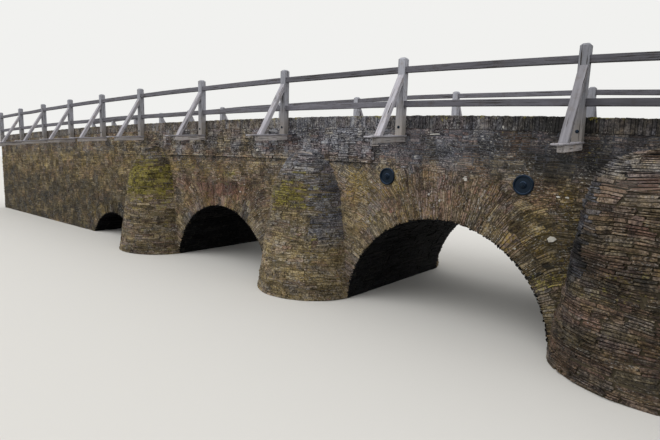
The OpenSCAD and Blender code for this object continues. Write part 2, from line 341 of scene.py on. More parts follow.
def make_piece(name, verts, faces, values, material, slot, nodes=()):
    """Makes a flat-shaded mesh piece from points, lists of equal-sided faces and values at its points, and hangs it on
    the part."""
    mesh = bpy.data.meshes.new(name)
    mesh.vertices.add(len(verts))
    mesh.vertices.foreach_set("co", np.ascontiguousarray(verts, dtype=np.float32).ravel())
    corners = np.concatenate([f.ravel() for f in faces]).astype(np.int32)
    sizes = np.concatenate([np.full(len(f), f.shape[1]) for f in faces])
    mesh.loops.add(len(corners))
    mesh.loops.foreach_set("vertex_index", corners)
    mesh.polygons.add(len(sizes))
    mesh.polygons.foreach_set("loop_start", (np.cumsum(sizes) - sizes).astype(np.int32))
    mesh.polygons.foreach_set("use_smooth", np.zeros(len(sizes), dtype=bool))
    mesh.update(calc_edges=True)
    if mesh.validate():
        raise RuntimeError(f"the mesh of {name} had faults")
    for key, value in values.items():
        kind, field = ("FLOAT_VECTOR", "vector") if value.ndim == 2 else ("FLOAT", "value")
        layer = mesh.attributes.new(key, kind, "POINT")
        layer.data.foreach_set(field, np.ascontiguousarray(value, dtype=np.float32).ravel())
    mesh.materials.append(bpy.data.materials[material])
    piece = bpy.data.objects.new(name, mesh)
    bpy.context.scene.collection.objects.link(piece)
    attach(piece, "root")
    if nodes:
        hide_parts(*nodes)
    return piece


def feed(tree, node, inputs):
    """Links sockets to a node's inputs, and sets the inputs that are given as values."""
    for key, value in inputs.items():
        if isinstance(value, bpy.types.NodeSocket):
            tree.links.new(value, node.inputs[key])
        else:
            node.inputs[key].default_value = value


def add(tree, kind, inputs=None, stops=None, **settings):
    """Adds a node: settings are its properties, inputs are values or sockets, and stops are a ramp's places and
    colours."""
    made = tree.nodes.new("ShaderNode" + kind)
    for key, value in settings.items():
        setattr(made, key, value)
    feed(tree, made, inputs or {})
    for i, (place, tint) in enumerate(stops or ()):
        element = made.color_ramp.elements[i] if i < 2 else made.color_ramp.elements.new(place)
        element.position = place
        element.color = (*tint, 1.0)
    return made


def sway(tree, own, noise, amount, **settings):
    """Lets a noise move a value up and down: own + amount * (noise - 0.5)."""
    noise = add(tree, "Math", {0: noise, 1: -0.5}, operation="ADD").outputs[0]
    return add(tree, "Math", {0: noise, 1: amount, 2: own}, operation="MULTIPLY_ADD", **settings).outputs[0]


def times(tint, gain):
    """A colour made paler or darker, by one factor or by one each for red, green and blue."""
    return [min(1.0, c * g) for c, g in zip(tint, np.broadcast_to(gain, 3))]


def start_material(name):
    """A new node material with its Principled shader, which the caller wires up."""
    material = bpy.data.materials.new(name)
    material.use_nodes = True
    return material, material.node_tree, material.node_tree.nodes["Principled BSDF"]


def stone_finish(name, gloss=0.3):
    """Hand-split sandstone rubble, never dressed: riven faces streaked along their bedding, colour that changes from
    stone to stone, old lichen and moss. Grit of 4 mm, flecks of 10 to 20 mm, ridges and scabs of 30 mm and crusts of
    50 mm give it its roughness."""
    colours = bpy.context.scene.bridge_stone
    material, tree, shader = start_material(name)
    place = add(tree, "TexCoord").outputs["Object"]
    bed = add(tree, "Attribute", attribute_name="bed").outputs["Vector"]
    read = {k: add(tree, "Attribute", attribute_name=k).outputs["Fac"] for k in VALUES}
    riven = add(tree, "VectorMath", {0: bed, 1: (26.0, 75.0, 75.0)}, operation="MULTIPLY").outputs["Vector"]
    fleck = add(tree, "TexNoise", {"Vector": riven, "Scale": 1.0, "Detail": 4.0, "Roughness": 0.65}).outputs["Fac"]
    grit, ridge, scab, crust, mottle, tinge, cloud = (
        add(tree, "TexNoise", {"Vector": place, "Scale": scale, "Detail": detail, "Roughness": rough}).outputs["Fac"]
        for scale, detail, rough in (
            (230.0, 1.0, 0.5),  # 4 mm
            (30.0, 4.0, 0.65),  # 33 mm
            (34.0, 3.0, 0.75),  # 30 mm
            (19.0, 6.0, 0.7),  # 50 mm
            (7.5, 5.0, 0.75),  # 130 mm
            (5.0, 6.0, 0.8),  # 200 mm
            (2.3, 5.0, 0.65),  # 430 mm
        )
    )
    # the stone's own tone, stirred by its flecks, its ridges and stains a hand wide, so that no face is one flat colour
    stir = add(tree, "Math", {0: fleck, 1: ridge}, operation="ADD").outputs[0]
    for noise, share in ((mottle, 1.9), (scab, 1.5)):
        stir = add(tree, "Math", {0: noise, 1: share, 2: stir}, operation="MULTIPLY_ADD").outputs[0]
    stir = add(tree, "Math", {0: stir, 1: -2.70}, operation="ADD").outputs[0]
    tone = add(tree, "Math", {0: stir, 1: 1.2, 2: read["tone"]}, operation="MULTIPLY_ADD", use_clamp=True).outputs[0]
    cold, warm, iron, gold = (
        add(tree, "ValToRGB", {"Fac": tone}, stops=stops).outputs["Color"]
        for stops in (
            [(0.0, colours.cold_dark), (1.0, colours.cold_light), (0.5, colours.cold)],
            [(0.0, colours.warm_dark), (1.0, colours.warm_light), (0.5, colours.warm)],
            [(0.1, times(colours.rose, 0.3)), (0.85, times(colours.rose, 2.0))],
            [(0.1, times(colours.ochre, 0.35)), (0.75, colours.ochre)],
        )
    )
    drift = sway(tree, read["warm"], tinge, 1.8, use_clamp=True)
    patch = add(tree, "MapRange", {"Value": crust, "From Min": 0.44, "From Max": 0.62}).outputs["Result"]
    bloom = add(tree, "Math", {0: patch, 1: read["ochre"]}, operation="MULTIPLY", use_clamp=True).outputs[0]
    # grey stone turns brown, some is a dull purple-brown ironstone, and over it lies a yellow bloom in patches
    base = cold
    for share, tint in ((drift, warm), (read["rose"], iron), (bloom, gold)):
        base = add(tree, "Mix", {0: share, 6: base, 7: tint}, data_type="RGBA").outputs[2]
    # damp in clouds of half a metre, and painted shade in the same value: the shaded right end, the cutwater flanks,
    # the band under the ledge and the black arches
    wet_and_shade = sway(tree, read["damp_and_shade"], cloud, 1.5, use_clamp=True)
    shade = add(tree, "MapRange", {"Value": wet_and_shade, "To Min": 1.0, "To Max": 0.05}).outputs["Result"]
    base = add(tree, "Mix", {0: 1.0, 6: base, 7: shade}, data_type="RGBA", blend_type="MULTIPLY").outputs[2]
    # pale lichen crusts, drawn out along the stones
    lichen = add(tree, "VectorMath", {0: bed, 1: (26.0, 48.0, 48.0)}, operation="MULTIPLY").outputs["Vector"]
    lichen = add(tree, "TexNoise", {"Vector": lichen, "Scale": 1.0, "Detail": 3.0, "Roughness": 0.6}).outputs["Fac"]
    spots = add(tree, "MapRange", {"Value": lichen, "From Min": 0.57, "From Max": 0.65}).outputs["Result"]
    spots = add(tree, "Math", {0: spots, 1: read["pale"]}, operation="MULTIPLY").outputs[0]
    chalk = {"Value": read["pale"], "From Min": 0.86, "From Max": 0.98, "To Max": 0.85}
    chalk = add(tree, "MapRange", chalk).outputs["Result"]
    spots = add(tree, "Math", {0: spots, 1: chalk}, operation="MAXIMUM", use_clamp=True).outputs[0]
    base = add(tree, "Mix", {0: spots, 6: base, 7: (*colours.lichen, 1.0)}, data_type="RGBA").outputs[2]
    # moss, thickest where the attribute says and broken up by the crusts
    cover = sway(tree, sway(tree, read["moss"], crust, 2.6), mottle, 2.6)
    cover = add(tree, "MapRange", {"Value": cover, "From Min": 0.3, "From Max": 0.75, "To Max": 0.85}).outputs["Result"]
    tuft = stir
    for layer, share in ((fleck, 0.6), (read["tone"], 0.9)):
        tuft = add(tree, "Math", {0: layer, 1: share, 2: tuft}, operation="MULTIPLY_ADD").outputs[0]
    stops = [(0.45, times(colours.moss, 0.22)), (1.0, times(colours.moss, 1.25)), (0.76, colours.moss)]
    green = add(tree, "ValToRGB", {"Fac": tuft}, stops=stops).outputs["Color"]
    base = add(tree, "Mix", {0: cover, 6: base, 7: green}, data_type="RGBA").outputs[2]
    # dirt down the stones' sides
    dirt = {"Value": read["edge"], "From Min": 0.05, "From Max": 0.60, "To Min": 1.0, "To Max": 0.50}
    dirt = add(tree, "MapRange", dirt).outputs["Result"]
    base = add(tree, "Mix", {0: 1.0, 6: base, 7: dirt}, data_type="RGBA", blend_type="MULTIPLY").outputs[2]
    rough = add(tree, "MapRange", {"Value": wet_and_shade, "To Min": 0.94, "To Max": 0.66}).outputs["Result"]
    rise = fleck
    for noise, share in ((ridge, 2.0), (scab, 1.5), (grit, 0.5)):
        rise = add(tree, "Math", {0: noise, 1: share, 2: rise}, operation="MULTIPLY_ADD").outputs[0]
    bump = add(tree, "Bump", {"Height": rise, "Strength": 0.6, "Distance": 0.005}).outputs["Normal"]
    feed(tree, shader, {"Base Color": base, "Roughness": rough, "Specular IOR Level": gloss, "IOR": 1.5})
    feed(tree, shader, {"Normal": bump})
    return material


def mortar_finish():
    """Lime mortar, trowelled in and long washed out: dull and gritty, browner low down and greyer under the coping,
    with damp clouds a hand wide, and painted shade: darker over the shaded right end and black inside the arches."""
    colours = bpy.context.scene.bridge_stone
    material, tree, shader = start_material("lime_mortar_washed_out")
    place = add(tree, "TexCoord").outputs["Object"]
    axes = add(tree, "SeparateXYZ", {"Vector": place}).outputs
    height, out = axes["Z"], add(tree, "Math", {0: axes["Y"]}, operation="ABSOLUTE").outputs[0]
    grit = add(tree, "TexNoise", {"Vector": place, "Scale": 130.0, "Detail": 4.0, "Roughness": 0.7}).outputs["Fac"]
    cloud = add(tree, "TexNoise", {"Vector": place, "Scale": 5.0, "Detail": 5.0, "Roughness": 0.7}).outputs["Fac"]
    grey = add(tree, "MapRange", {"Value": height, "From Min": 2.6, "From Max": 3.1}).outputs["Result"]
    tint = {0: grey, 6: (*colours.mortar, 1.0), 7: (*colours.mortar_cold, 1.0)}
    tint = add(tree, "Mix", tint, data_type="RGBA").outputs[2]
    # painted shade: black inside the arches below the crowns, and darker over the shaded right end
    raised = add(tree, "Math", {0: height, 1: 2.3}, operation="GREATER_THAN").outputs[0]
    clouds, painted_shade_gain, west, east = (
        add(tree, "MapRange", dict(zip(("Value", "From Min", "From Max", "To Min", "To Max"), ends))).outputs["Result"]
        for ends in (
            (cloud, 0.3, 0.7, 0.6, 1.6),
            (out, FACE - 0.10, FACE - 0.01, 0.05, 1.0),
            (axes["X"], 3.8, 5.4, 1.0, 0.45),
            (axes["X"], 9.0, 14.0, 0.45, 1.0),
        )
    )
    tint = add(tree, "Mix", {0: 1.0, 6: tint, 7: clouds}, data_type="RGBA", blend_type="MULTIPLY").outputs[2]
    tint = add(tree, "Mix", {0: 0.35, 6: tint, 7: grit}, data_type="RGBA", blend_type="OVERLAY").outputs[2]
    painted_shade_gain = add(tree, "Math", {0: painted_shade_gain, 1: raised}, operation="MAXIMUM").outputs[0]
    shaded_right = add(tree, "Math", {0: west, 1: east}, operation="MAXIMUM").outputs[0]
    painted_shade_gain = add(tree, "Math", {0: painted_shade_gain, 1: shaded_right}, operation="MULTIPLY").outputs[0]
    tint = add(tree, "Mix", {0: 1.0, 6: tint, 7: painted_shade_gain}, data_type="RGBA", blend_type="MULTIPLY").outputs[2]
    bump = add(tree, "Bump", {"Height": grit, "Strength": 0.6, "Distance": 0.006}).outputs["Normal"]
    feed(tree, shader, {"Base Color": tint, "Roughness": 0.95, "Normal": bump})
    return material


def timber_finish(name, tint, pale):
    """Softwood or oak sawn square and left unpainted, silvered by weather: long grey fibres 2 to 6 mm apart, drying
    cracks that run with the grain, and a browner, darker foot where it stays wet."""
    timber = bpy.context.scene.bridge_timber
    material, tree, shader = start_material(name)
    grain = add(tree, "Attribute", attribute_name="grain").outputs["Vector"]
    tone = add(tree, "Attribute", attribute_name="tone").outputs["Fac"]
    foot = add(tree, "Attribute", attribute_name="foot").outputs["Fac"]
    along, broad, split = (
        add(tree, "VectorMath", {0: grain, 1: (lengthwise, across, across)}, operation="MULTIPLY").outputs["Vector"]
        for lengthwise, across in ((3.0, 170.0), (1.4, 26.0), (2.2, 58.0))
    )
    fibre = add(tree, "TexNoise", {"Vector": along, "Scale": 1.0, "Detail": 4.0, "Roughness": 0.6}).outputs["Fac"]
    band = add(tree, "TexNoise", {"Vector": broad, "Scale": 1.0, "Detail": 3.0, "Roughness": 0.55}).outputs["Fac"]
    split = add(tree, "TexNoise", {"Vector": split, "Scale": 1.0, "Detail": 1.0, "Distortion": 0.3}).outputs["Fac"]
    stain = add(tree, "TexNoise", {"Vector": grain, "Scale": 7.0, "Detail": 4.0, "Roughness": 0.6}).outputs["Fac"]
    value = 0.0
    for noise in (fibre, band):
        value = add(tree, "Math", {0: noise, 1: 0.5, 2: value}, operation="MULTIPLY_ADD").outputs[0]
    stops = [(0.30, times(tint, 0.55)), (0.72, times(tint, pale)), (0.50, tint)]
    base = add(tree, "ValToRGB", {"Fac": value}, stops=stops).outputs["Color"]
    # brown where rain has soaked in, an earthy foot, and dark drying cracks
    soak = add(tree, "MapRange", {"Value": stain, "From Min": 0.52, "From Max": 0.75, "To Max": 0.55}).outputs["Result"]
    splashed = add(tree, "Math", {0: foot, 1: 0.75}, operation="MULTIPLY").outputs[0]
    lines = add(tree, "MapRange", {"Value": split, "From Min": 0.36, "From Max": 0.30}).outputs["Result"]
    brown, earthy = times(tint, (0.62, 0.50, 0.36)), times(tint, (0.90, 0.78, 0.60))
    for share, over in ((soak, brown), (splashed, earthy), (lines, timber.crack)):
        base = add(tree, "Mix", {0: share, 6: base, 7: (*over, 1.0)}, data_type="RGBA").outputs[2]
    gain = add(tree, "MapRange", {"Value": tone, "To Min": 0.70, "To Max": 1.45}).outputs["Result"]
    base = add(tree, "Mix", {0: 1.0, 6: base, 7: gain}, data_type="RGBA", blend_type="MULTIPLY").outputs[2]
    rise = add(tree, "Math", {0: lines, 1: -2.5, 2: fibre}, operation="MULTIPLY_ADD").outputs[0]
    bump = add(tree, "Bump", {"Height": rise, "Strength": 0.6, "Distance": 0.0022}).outputs["Normal"]
    feed(tree, shader, {"Base Color": base, "Roughness": 0.85, "IOR": 1.5, "Normal": bump})
    return material


def iron_finish():
    """Cast iron with many coats of old paint: a blue-black skin with a dull sheen, sand-cast grain of 3 mm under it
    and rust creeping out of the hollows."""
    colours = bpy.context.scene.bridge_iron
    material, tree, shader = start_material("cast_iron_old_paint")
    place = add(tree, "TexCoord").outputs["Object"]
    cast = add(tree, "TexNoise", {"Vector": place, "Scale": 160.0, "Detail": 3.0}).outputs["Fac"]
    wear = add(tree, "TexNoise", {"Vector": place, "Scale": 28.0, "Detail": 6.0, "Roughness": 0.65}).outputs["Fac"]
    rust = add(tree, "MapRange", {"Value": wear, "From Min": 0.62, "From Max": 0.74, "To Max": 0.45}).outputs["Result"]
    # painted highlight: the faces that turn up are lightened with a pale blue, as if lit by the sky
    facing = add(tree, "SeparateXYZ", {"Vector": add(tree, "NewGeometry").outputs["Normal"]}).outputs["Z"]
    painted_highlight = add(tree, "MapRange", {"Value": facing, "From Min": 0.12, "From Max": 0.6, "To Max": 0.75}).outputs["Result"]
    tint = (*colours.paint, 1.0)
    for share, over in ((rust, colours.rust), (painted_highlight, colours.painted_highlight)):
        tint = add(tree, "Mix", {0: share, 6: tint, 7: (*over, 1.0)}, data_type="RGBA").outputs[2]
    rough = add(tree, "MapRange", {"Value": wear, "To Min": 0.38, "To Max": 0.7}).outputs["Result"]
    bump = add(tree, "Bump", {"Height": cast, "Strength": 0.35, "Distance": 0.0015}).outputs["Normal"]
    feed(tree, shader, {"Base Color": tint, "Roughness": rough, "Specular IOR Level": 0.2, "Normal": bump})
    return material


def road_finish():
    """Old rolled tarmac dressed with 8 mm chippings: mid grey, polished in the wheel tracks and browned at the
    edges."""
    colours = bpy.context.scene.bridge_road
    material, tree, shader = start_material("tarmac_worn_chippings")
    place = add(tree, "TexCoord").outputs["Object"]
    chips = add(tree, "TexVoronoi", {"Vector": place, "Scale": 110.0}).outputs
    cloud = add(tree, "TexNoise", {"Vector": place, "Scale": 1.6, "Detail": 5.0, "Roughness": 0.6}).outputs["Fac"]
    patch = add(tree, "ValToRGB", {"Fac": cloud}, stops=[(0.3, colours.dark), (0.7, colours.pale)]).outputs["Color"]
    out = add(tree, "SeparateXYZ", {"Vector": place}).outputs["Y"]
    out = add(tree, "Math", {0: out}, operation="ABSOLUTE").outputs[0]
    stray = add(tree, "Math", {0: cloud, 1: 0.5, 2: out}, operation="MULTIPLY_ADD").outputs[0]
    # the wheel tracks run 0.75 m from the middle, and dust and dirt gather against the walls
    track = add(tree, "Math", {0: stray, 1: -1.0}, operation="ADD").outputs[0]
    track = add(tree, "Math", {0: track}, operation="ABSOLUTE").outputs[0]
    track = {"Value": track, "From Max": 0.35, "To Min": 0.35, "To Max": 0.0}
    track = add(tree, "MapRange", track).outputs["Result"]
    verge = {"Value": stray, "From Min": 1.55, "From Max": 1.95, "To Max": 0.75}
    verge = add(tree, "MapRange", verge).outputs["Result"]
    for share, over in ((track, colours.track), (verge, colours.verge)):
        patch = add(tree, "Mix", {0: share, 6: patch, 7: (*over, 1.0)}, data_type="RGBA").outputs[2]
    tint = {0: 0.22, 6: patch, 7: chips["Color"]}
    tint = add(tree, "Mix", tint, data_type="RGBA", blend_type="SOFT_LIGHT").outputs[2]
    bump = add(tree, "Bump", {"Height": chips["Distance"], "Strength": 0.5, "Distance": 0.004}).outputs["Normal"]
    feed(tree, shader, {"Base Color": tint, "Roughness": 0.88, "Normal": bump})
    return material


# ---------------------------------------------------------------- rubble stones


def lay_courses(surface, edges, starts, ends, reach, thick, rng, first=None):
    """Cells for the stones: each strip between two edges is cut across at random lengths, each block so cut is parted
    along its run into as many thin stones as its true width holds, and each stone then slips a little along its run.
    The first stones of every strip can be given a length of their own. Rows are a0, a1, b0, b1."""
    cells = []
    for a0, a1, b0, b1, usual in zip(edges[:-1], edges[1:], starts, ends, reach):
        lengths = usual * rng.uniform(0.35, 1.65, int((b1 - b0) / usual * 1.5) + 6)
        lengths[0] = first * rng.uniform(0.8, 1.2) if first else lengths[0] * rng.uniform(0.3, 1.0)
        cuts = b0 + np.cumsum(lengths)
        cuts = np.concatenate([[b0], cuts[cuts < b1 - usual * 0.3], [b1]])
        mid = (cuts[:-1] + cuts[1:]) / 2
        low, high = surface(np.full_like(mid, a0), mid)[0], surface(np.full_like(mid, a1), mid)[0]
        width = np.linalg.norm(high - low, axis=-1)
        count = np.clip(np.rint(width / thick * rng.uniform(0.7, 1.35, len(mid))), 1, 14).astype(int)
        block = np.repeat(np.arange(len(mid)), count)
        step = np.arange(len(block)) - np.repeat(np.cumsum(count) - count, count)
        share = (step + np.where(step > 0, rng.uniform(-0.27, 0.27, len(block)), 0.0)) / count[block]
        upper = np.append(share[1:], 1.0)
        upper[step == count[block] - 1] = 1.0
        slip = rng.uniform(-0.09, 0.09, (2, len(block))) * usual
        near, far = cuts[block] + slip[0], cuts[block + 1] + slip[1]
        near, far = np.where(cuts[block] > b0, near, b0), np.where(cuts[block + 1] < b1, far, b1)
        cells.append(np.stack([a0 + (a1 - a0) * share, a0 + (a1 - a0) * upper, near, far], axis=1))
    return np.concatenate(cells)


def raise_stones(surface, cells, rng, joint, proud, depth, spread=0.006, trim=None, snug=0.62, lip=0.003):
    """Closed stones on the cells: a rough six-sided outline in shares of the cell, the truer the more snug, carried
    out along the surface's normal from a back ring in the mortar to a smaller, tilted face. Returns points as stone,
    ring and corner, and the points' places in each stone's own bed: along it, across it and out of it, in metres."""
    centre = np.stack([(cells[:, 0] + cells[:, 1]) / 2, (cells[:, 2] + cells[:, 3]) / 2], axis=1)
    half = np.stack([(cells[:, 1] - cells[:, 0]) / 2, (cells[:, 3] - cells[:, 2]) / 2], axis=1)
    eps = 1e-3
    across = surface(centre[:, 0] + eps, centre[:, 1])[0] - surface(centre[:, 0] - eps, centre[:, 1])[0]
    along = surface(centre[:, 0], centre[:, 1] + eps)[0] - surface(centre[:, 0], centre[:, 1] - eps)[0]
    metric = np.stack([np.linalg.norm(across, axis=-1), np.linalg.norm(along, axis=-1)], axis=1) / (2 * eps)
    metric = np.maximum(metric, 1e-3)
    count = len(cells)
    a = np.array([-1, -1, -1, 1, 1, 1]) * rng.uniform(snug, 1.05, (count, CORNERS))
    a[:, [1, 4]] = np.array([-1, 1]) * rng.uniform(0.84, 1.14, (count, 2))
    b = np.array([-1, 0, 1, 1, 0, -1]) * rng.uniform(0.86, 1.05, (count, CORNERS))
    b[:, [1, 4]] = rng.uniform(-0.65, 0.65, (count, 2))
    shape = np.stack([a, b], axis=-1)
    normal = surface(centre[:, 0], centre[:, 1])[1]
    if np.einsum("ij,ij->i", np.cross(across, along), normal)[0] > 0:
        shape = shape[:, ::-1]
    height = np.clip(rng.normal(proud, spread, count), 0.004, proud + 3 * spread)
    tilt = rng.normal(0, 1, (count, 2)) * [0.0042, 0.0030]
    gap = joint * rng.uniform(0.4, 1.9, (count, 1, 1)) * [1.0, 0.6]
    turn = rng.normal(0, 0.022, (count, 1))
    rings, bed = [], []
    own = rng.uniform(-50, 50, (count, 1, 3))
    for face, shrink in ((False, 0.0), (True, lip)):
        drawn_in = (gap + np.array([shrink, shrink * 0.3])) / metric[:, None, :]
        spot = shape * np.maximum(half[:, None, :] - drawn_in, half[:, None, :] * 0.3)
        lean = turn * spot[..., 1] * (metric[:, 1] / metric[:, 0])[:, None]
        spot = np.stack([spot[..., 0] + lean, spot[..., 1]], axis=-1)
        at, out = surface(*np.moveaxis(centre[:, None, :] + spot, -1, 0), centre[:, 0:1], centre[:, 1:2])
        if trim:
            at = trim(at)
        if face:
            rough = rng.normal(0, 0.0016, (count, CORNERS))
            rise = height[:, None] + np.einsum("nkc,nc->nk", shape, tilt) + rough
        else:
            rise = np.full((count, CORNERS), -depth)
        rings.append(at + out * rise[..., None])
        flat = spot * metric[:, None, :]
        bed.append(np.stack([flat[..., 1], flat[..., 0], rise], axis=-1) + own)
    return np.stack(rings, axis=1), np.stack(bed, axis=1)


def close_stones(count):
    """Faces of stones of two rings: a side of four corners at each edge of the outline, and two ends."""
    base = (np.arange(count) * 2 * CORNERS)[:, None, None]
    k = np.arange(CORNERS)
    ends = np.stack([CORNERS + k, k[::-1]])
    return [(base + tube(2, CORNERS)).reshape(-1, 4), (base + ends).reshape(-1, CORNERS)]


# Stains on the long walls by value: X and Z of the middle, half sizes along and up, and strength
STAINS = {
    "tone": (
        (1.45, 2.25, 0.60, 0.60, 0.31), (3.10, 2.32, 0.55, 0.28, 0.12), (4.10, 3.08, 0.40, 0.06, 0.20),
        (4.70, 3.10, 0.30, 0.10, 0.12), (4.25, 2.90, 0.30, 0.04, 0.16), (-2.75, 3.17, 0.28, 0.07, 0.25),
        (1.20, 3.45, 0.40, 0.25, 0.10), (5.10, 1.90, 0.45, 0.60, 0.05), (1.20, 0.75, 0.22, 0.12, 0.22),
        (-3.30, 2.10, 1.80, 0.35, -0.01), (-1.00, 3.40, 0.60, 0.25, 0.10),
    ),
    "warm": (
        (4.20, 3.05, 0.80, 0.14, 0.35), (0.90, 3.35, 1.60, 0.40, -0.24), (4.70, 3.25, 0.90, 0.30, 0.18),
        (-2.70, 3.35, 1.60, 0.36, 0.30), (3.40, 2.50, 1.00, 0.50, -0.18),
    ),
    "rose": (
        (-3.30, 2.10, 1.90, 0.42, 0.85), (3.30, 2.45, 1.20, 0.50, 0.40), (5.20, 2.70, 0.50, 0.40, 0.20),
        (1.00, 3.30, 0.50, 0.40, -0.30),
    ),
    "ochre": (
        (1.45, 2.45, 0.50, 0.42, 0.80), (2.35, 2.45, 0.40, 0.30, 0.30), (4.55, 2.05, 0.14, 0.12, 0.70),
        (4.95, 2.15, 0.20, 0.16, 0.55), (5.22, 1.70, 0.36, 0.17, 1.50), (5.50, 2.30, 0.12, 0.34, 1.45),
        (4.65, 1.75, 0.20, 0.10, 0.60), (-4.20, 2.60, 1.80, 0.20, 0.55), (-3.80, 1.75, 0.90, 0.22, 0.35),
    ),
    "moss": (
        (5.28, 1.22, 0.25, 0.16, 0.45), (2.52, 2.05, 0.12, 0.25, 0.40), (1.75, 1.80, 0.12, 0.16, 0.42),
        (5.10, 1.05, 0.20, 0.12, 0.50), (-2.60, 2.50, 0.90, 0.06, 0.55), (5.60, 3.20, 0.25, 0.16, 0.55),
        (1.05, 1.00, 0.35, 0.60, 0.28), (-4.60, 2.60, 1.40, 0.22, 0.30), (5.48, 2.30, 0.12, 0.50, 0.18),
        (1.30, 2.88, 0.60, 0.04, 0.35),
    ),
    "damp_and_shade": (
        (3.10, 3.17, 0.24, 0.12, 0.50), (2.60, 3.00, 0.22, 0.38, 0.22), (4.30, 3.27, 0.28, 0.08, 0.55),
        (3.82, 3.24, 0.20, 0.06, 0.40), (4.45, 2.95, 0.35, 0.03, 0.35), (3.60, 3.00, 0.15, 0.10, 0.25),
        (5.45, 3.15, 0.45, 0.35, 0.30), (1.00, 1.30, 0.30, 0.55, 0.22), (5.00, 1.20, 0.10, 0.025, 1.00),
        (5.16, 1.27, 0.10, 0.025, 1.00), (5.31, 1.40, 0.09, 0.035, 1.00), (5.05, 2.55, 0.20, 0.30, 0.16),
        (-0.75, 3.30, 0.50, 0.20, 0.20), (5.60, 1.60, 0.12, 0.60, 0.25),
    ),
}

# Single white stones set in the walls: X, Z, half width and half height
WHITE_STONES = (
    (3.75, 2.73, 0.040, 0.055), (5.27, 1.85, 0.065, 0.045), (5.31, 2.53, 0.032, 0.014), (5.44, 2.53, 0.035, 0.014),
    (-1.62, 3.12, 0.050, 0.030), (3.12, 3.50, 0.110, 0.013), (3.28, 2.30, 0.018, 0.026), (3.05, 2.40, 0.024, 0.018),
    (4.70, 1.62, 0.026, 0.018), (-3.15, 2.33, 0.035, 0.020), (2.72, 3.08, 0.022, 0.016), (4.05, 2.24, 0.018, 0.026),
    (-2.30, 2.05, 0.030, 0.018), (1.75, 2.55, 0.022, 0.016), (4.36, 3.62, 0.020, 0.026),
)


def stains(value, x, z):
    """The sum of the walls' stains of one value."""
    return sum(strength * blob(x, z, *spot) for *spot, strength in STAINS[value])


